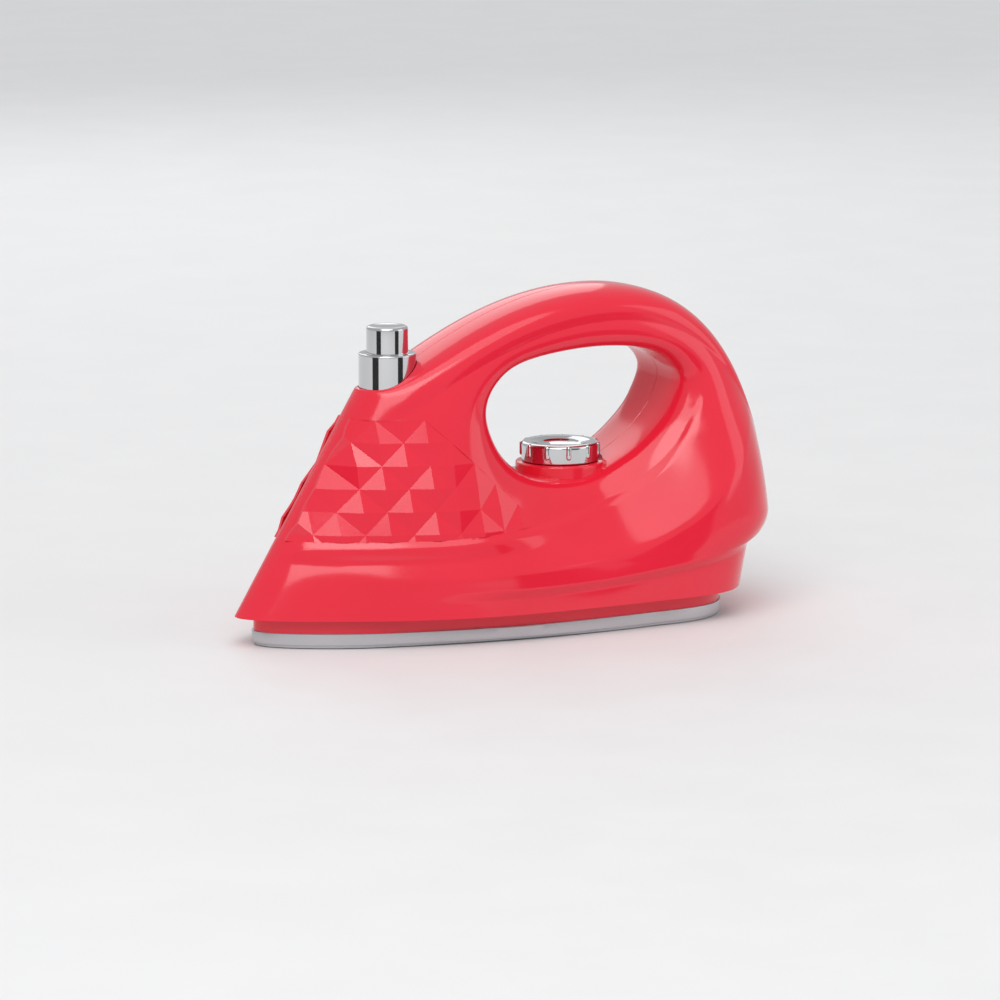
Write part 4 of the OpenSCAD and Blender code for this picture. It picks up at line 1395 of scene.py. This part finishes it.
@dataclass
class Button:
    """Chrome push button, its collar and its return spring."""

    patterns: Patterns
    x: float = -42.6
    rim: float = 97.4
    up: float = 9.3
    radius: float = 7.2
    collar_r: float = 9.9
    cup: float = 80.4
    travel: float = 4.0
    stem_r: float = 2.5
    hole_r: float = 2.58
    coil_r: float = 4.3
    wire_r: float = 0.4
    turns: float = 6.0

    def build(self) -> list[bpy.types.Object]:
        """Builds button, collar and spring.

        Returns:
            The pieces, given to the frame.
        """
        top, r = self.rim + self.up, self.radius
        profile = [(0, top - 2.2), (r - 1.3, top - 2.2), (r - 1.3, self.rim - 5.5), (r, self.rim - 5.5)]
        profile += [(r, self.rim)] + arc((r - 1.1, top - 1.1), 1.1, 0, 84, 10)
        profile += [(r - 1.7, top - 0.05), (0, top - 0.12)]
        button = lathe("button", profile, (self.x, 0.0))
        s, foot, neck = self.stem_r, self.cup - 6.0, self.cup - 1.3
        rod = [(0, foot), (s - 0.2, foot), (s, foot + 0.2), (s, neck), (s - 0.7, neck), (s - 0.7, neck + 1.0),
               (s, neck + 1.0), (s, top - 2.0), (0, top - 2.0)]
        stem = lathe("stem", rod, (self.x, 0.0), 48)
        button = join("button", [button, stem])
        c, b = self.collar_r, self.radius + 0.08
        profile = [(self.hole_r, self.cup), (c + 1, self.cup), (c + 1, self.cup + 1.7), (c, self.cup + 1.7)]
        profile += [(c, self.rim - 1.0)] + arc((c - 0.5, self.rim - 0.5), 0.5, 0, 90, 7)
        profile += [(b + 0.3, self.rim), (b, self.rim - 0.3), (b, self.cup + 2)]
        profile += [(self.hole_r, self.cup + 2), (self.hole_r, self.cup)]
        collar = lathe("collar", profile, (self.x, 0.0))
        spring = new_object("return_spring", np.zeros((1, 3)), [])
        z0, z1 = self.cup + 2.45, top - 2.65
        self.patterns.coil.run(spring, {
            "Turns": self.turns, "Radius": self.coil_r * MM, "Height": (z1 - z0) * MM,
            "Wire": self.wire_r * MM,
            "Place": (self.x * MM, 0.0, z0 * MM), "Material": Finishes.STEEL.material()})
        pieces = [complete(button, Body.BUTTON, Finishes.CHROME, "push_button", 40.0),
                  complete(collar, Body.CASE, Finishes.CHROME, "button_collar", 40.0),
                  complete(spring, Body.CASE, Finishes.STEEL, "button_spring", 50.0)]
        room = top - 2.2 - self.cup - 2
        (room - self.travel) / room
        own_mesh(spring)
        return pieces


@dataclass
class Base:
    """Pan, soleplate and battery door."""

    form: BodyForm
    sole_t: float = 5.0
    sole_in: float = 7.0
    pan_t: float = 2.4
    door_x: tuple[float, float] = (-25.2, 45.2)
    door_w: float = 35.0
    door_t: float = 2.0
    door_screw: float = 40.2
    screws: tuple[tuple[float, float], ...] = ((-58, 8), (-58, -8), (64, 26), (64, -26))

    def _pan(self) -> bpy.types.Object:
        """Plinth and floor of the body.

        Returns:
            The piece, given to the frame.
        """
        f = self.form
        low = self.sole_t + 0.02
        plinth = stack("base_plinth", [(f.plan(self.sole_in), low), (f.plan(self.sole_in), f.sole + 0.3)])
        inner = f.inset + 1.2
        plan = f.plan(inner, f.thick)
        floor = stack("floor", [(plan, f.sole + 0.02), (plan, f.sole + self.pan_t)])
        carve(plinth, floor, "UNION")
        return complete(plinth, Body.CASE, Finishes.RED, "base_pan")

    def _sole(self) -> bpy.types.Object:
        """Stepped soleplate with steam holes and screw recesses.

        Returns:
            The piece, given to the frame.
        """
        f, s = self.form, self.sole_in
        levels = [(s + 0.7, 0.0), (s + 0.45, 0.1), (s + 0.4, 0.3), (s + 0.4, 0.85), (s + 0.3, 1.0),
                  (s - 0.3, 1.05), (s - 0.55, 1.2), (s - 0.6, 1.45), (s - 0.6, 4.6), (s - 0.5, 4.88),
                  (s - 0.2, self.sole_t)]
        plate = stack("sole", [(f.plan(i), z) for i, z in levels])
        x0, x1 = self.door_x
        w = self.door_w / 2
        cut = [block("recess", (x0 - 0.3, -w - 0.3, -1), (x1 + 0.3, w + 0.3, self.door_t + 0.1))]
        cut += [cylinder("hole", (x, y, -1), 2.8, 3.4, n=48) for x, y in self.screws]
        for k in range(6):
            x = f.nose_x + 34 + 9 * k
            y = float(f.half_width(np.array([x]), np.array([f.sole]), 99.0)[0]) - 13
            cut += [cylinder("vent", (x, sgn * y, -1), 1.5, 2.2, n=32) for sgn in (-1, 1)]
        carve(plate, join("sole_cut", cut))
        return complete(plate, Body.CASE, Finishes.SILVER, "soleplate")

    def _door(self) -> bpy.types.Object:
        """Battery door with finger ribs and its screw recess.

        Returns:
            The piece, given to the frame.
        """
        x0, x1 = self.door_x
        w = self.door_w / 2
        door = block("door", (x0, -w, 0.0), (x1, w, self.door_t), 0.3)
        cut = [cylinder("sink", (self.door_screw, 0, -1), 2.7, 2.2, n=48)]
        for k in range(5):
            x = x1 - 18 - 2.4 * k
            cut.append(block("rib", (x, -6, -1), (x + 1.2, 6, 0.6)))
        carve(door, join("door_cut", cut))
        return complete(door, Body.CASE, Finishes.SILVER, "battery_door")

    def build(self) -> list[bpy.types.Object]:
        """Builds the base."""
        return [self._pan(), self._sole(), self._door()]


@dataclass
class ScrewSet:
    """Screws of one kind, all with the same direction."""

    name: str
    node: str
    points: tuple[Triple, ...]
    turn: Triple
    length: float
    rise: float = 1.8
    head: float = 2.5
    shank: float = 1.3

    def build(self, patterns: Patterns) -> bpy.types.Object:
        """Builds the screws.

        Args:
            patterns: Shared node groups.

        Returns:
            The screws as one piece.
        """
        obj = new_object(self.name, np.array(self.points, float), [])
        patterns.screws.run(obj, {
            "Head": self.head * MM, "Rise": self.rise * MM, "Shank": self.shank * MM,
            "Length": self.length * MM, "Turn": self.turn, "Material": Finishes.STEEL.material()})
        return complete(obj, Body.CASE, Finishes.STEEL, self.node, 35.0)


@dataclass
class Studio:
    """Floor, lights, world and camera."""

    eye: Triple = (-0.9425, -1.8638, 0.4180)
    look: Triple = (0.4444, 0.8782, -0.1769)
    lens: float = 220.25

    def build(self) -> None:
        """Sets the stage."""
        scene = bpy.context.scene
        scene.view_settings.view_transform = "Standard"
        floor = new_object("floor", np.array([[-9000, -9000, -0.3], [9000, -9000, -0.3], [9000, 9000, -0.3],
                                              [-9000, 9000, -0.3]], float), [(0, 1, 2, 3)])
        paint(floor, Finishes.FLOOR)
        self._light("key", (-0.75, -0.95, 1.15), 0.9, 7.0)
        self._light("fill", (1.10, -0.80, 0.55), 0.8, 2.0)
        self._light("rim", (0.30, 1.25, 0.80), 0.9, 2.5)
        self._sun("sky_light", (-0.25, -0.45, 1.0), 0.9, 50.0)
        self._flag("flag_left", -165.0, 0.36, 0.15)
        self._flag("flag_right", -68.0, 0.36, 0.15)
        world = bpy.data.worlds.new("studio")
        world.use_nodes = True
        scene.world = world
        g = Graph(world.node_tree)
        sky = g.add("Background", None, {"Color": (0.97, 0.98, 1.0, 1.0), "Strength": 0.55})
        g.add("OutputWorld", None, {"Surface": sky})
        cam = bpy.data.cameras.new("camera")
        cam.lens, cam.sensor_width, cam.clip_end = self.lens, 36.0, 60.0
        obj = bpy.data.objects.new("camera", cam)
        obj.location = self.eye
        obj.rotation_euler = Vector(self.look).to_track_quat("-Z", "Y").to_euler()
        scene.collection.objects.link(obj)
        scene.camera = obj

    @staticmethod
    def _sun(name: str, at: Triple, power: float, spread: float) -> None:
        """Adds an even light from far away.

        Args:
            name: Name of the light.
            at: Direction that it comes from.
            power: Watts per square metre.
            spread: Apparent size in degrees.
        """
        data = bpy.data.lights.new(name, "SUN")
        data.energy, data.angle = power, math.radians(spread)
        obj = bpy.data.objects.new(name, data)
        obj.rotation_euler = (-Vector(at)).to_track_quat("-Z", "Y").to_euler()
        bpy.context.scene.collection.objects.link(obj)

    @staticmethod
    def _flag(name: str, turn: float, far: float, wide: float) -> None:
        """Stands a dark card beside the object, which only shows in reflections.

        Args:
            name: Name of the card.
            turn: Direction from the object in degrees.
            far: Distance in metres.
            wide: Width in metres.
        """
        a = math.radians(turn)
        mid = Vector((math.cos(a), math.sin(a), 0)) * far
        along = Vector((-math.sin(a), math.cos(a), 0)) * wide / 2
        low, high = Vector((0, 0, 0.001)), Vector((0, 0, 0.13))
        corners = [mid - along + low, mid + along + low, mid + along + high, mid - along + high]
        card = new_object(name, np.array(corners) / MM, [(0, 1, 2, 3)])
        paint(card, Finishes.CARD)
        card.visible_camera = card.visible_diffuse = card.visible_shadow = False

    @staticmethod
    def _light(name: str, at: Triple, size: float, power: float) -> None:
        """Adds a soft area light that looks at the middle of the object.

        Args:
            name: Name of the light.
            at: Place in metres.
            size: Side in metres.
            power: Watts.
        """
        data = bpy.data.lights.new(name, "AREA")
        data.shape, data.size, data.energy = "SQUARE", size, power
        obj = bpy.data.objects.new(name, data)
        obj.location = at
        obj.rotation_euler = (Vector((0, 0, 0.06)) - Vector(at)).to_track_quat("-Z", "Y").to_euler()
        bpy.context.scene.collection.objects.link(obj)


@dataclass
class Iron:
    """The whole toy iron."""

    form: BodyForm = field(default_factory=BodyForm)
    kept: dict[str, Finish] = field(default_factory=lambda: {
        "battery_cells": Finishes.WRAP, "contact_springs": Finishes.STEEL, "contact_plates": Finishes.STEEL,
        "motor_can": Finishes.MOTOR, "motor_end_cap": Finishes.DARK, "motor_shaft": Finishes.STEEL,
        "eccentric_weight": Finishes.BRASS, "motor_clamp": Finishes.STEEL, "dial_spindle": Finishes.DARK,
        "detent_wheel": Finishes.DARK, "dial_washer": Finishes.STEEL, "dial_screw": Finishes.STEEL,
        "detent_spring": Finishes.STEEL, "button_clip": Finishes.STEEL, "switch_body": Finishes.DARK,
        "switch_plunger": Finishes.SWITCH, "lead_supply": Finishes.LEAD_RED, "lead_motor": Finishes.LEAD_BLUE,
        "lead_return": Finishes.LEAD_BLACK, "clamp_screws": Finishes.STEEL})

    def build(self, frame: dict[str, Any]) -> None:
        """Builds all pieces and dresses the CAD nodes that stay.
        """
        patterns = Patterns()
        case = Case(self.form)
        for side in Side:
            case.build(side)
        Dial(patterns).build()
        Button(patterns).build()
        base = Base(self.form)
        base.build()
        across, down = (-math.pi / 2, 0.0, 0.0), (math.pi, 0.0, 0.0)
        wells = tuple((x, case.well_y, z) for x, z in case.screws)
        feet = tuple((x, y, 2.4) for x, y in base.screws)
        latch = ((base.door_screw, 0.0, 1.2),)
        for screws in (ScrewSet("case_screw_set", "case_screws", wells, across, 14.0),
                       ScrewSet("base_screw_set", "base_screws", feet, down, 20.0),
                       ScrewSet("door_screw_set", "door_screw", latch, down, 8.0, 1.0)):
            screws.build(patterns)
        self.dress(frame)

    def dress(self, frame: dict[str, Any]) -> None:
        """Gives every CAD node that stays its finish.
        """
        for name, finish in self.kept.items():
            paint(frame["nodes"][name], finish)
            LOG.info("%s: kept from the frame, %s", name, finish.name)


def main() -> None:
    """Loads the frame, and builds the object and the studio."""
    logging.basicConfig(level=logging.INFO, format="%(name)s %(message)s")
    for obj in list(bpy.data.objects):
        bpy.data.objects.remove(obj, do_unlink=True)
    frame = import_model()
    Iron().build(frame)
    Studio().build()
    bpy.context.view_layer.update()


if __name__ == "__main__":
    main()
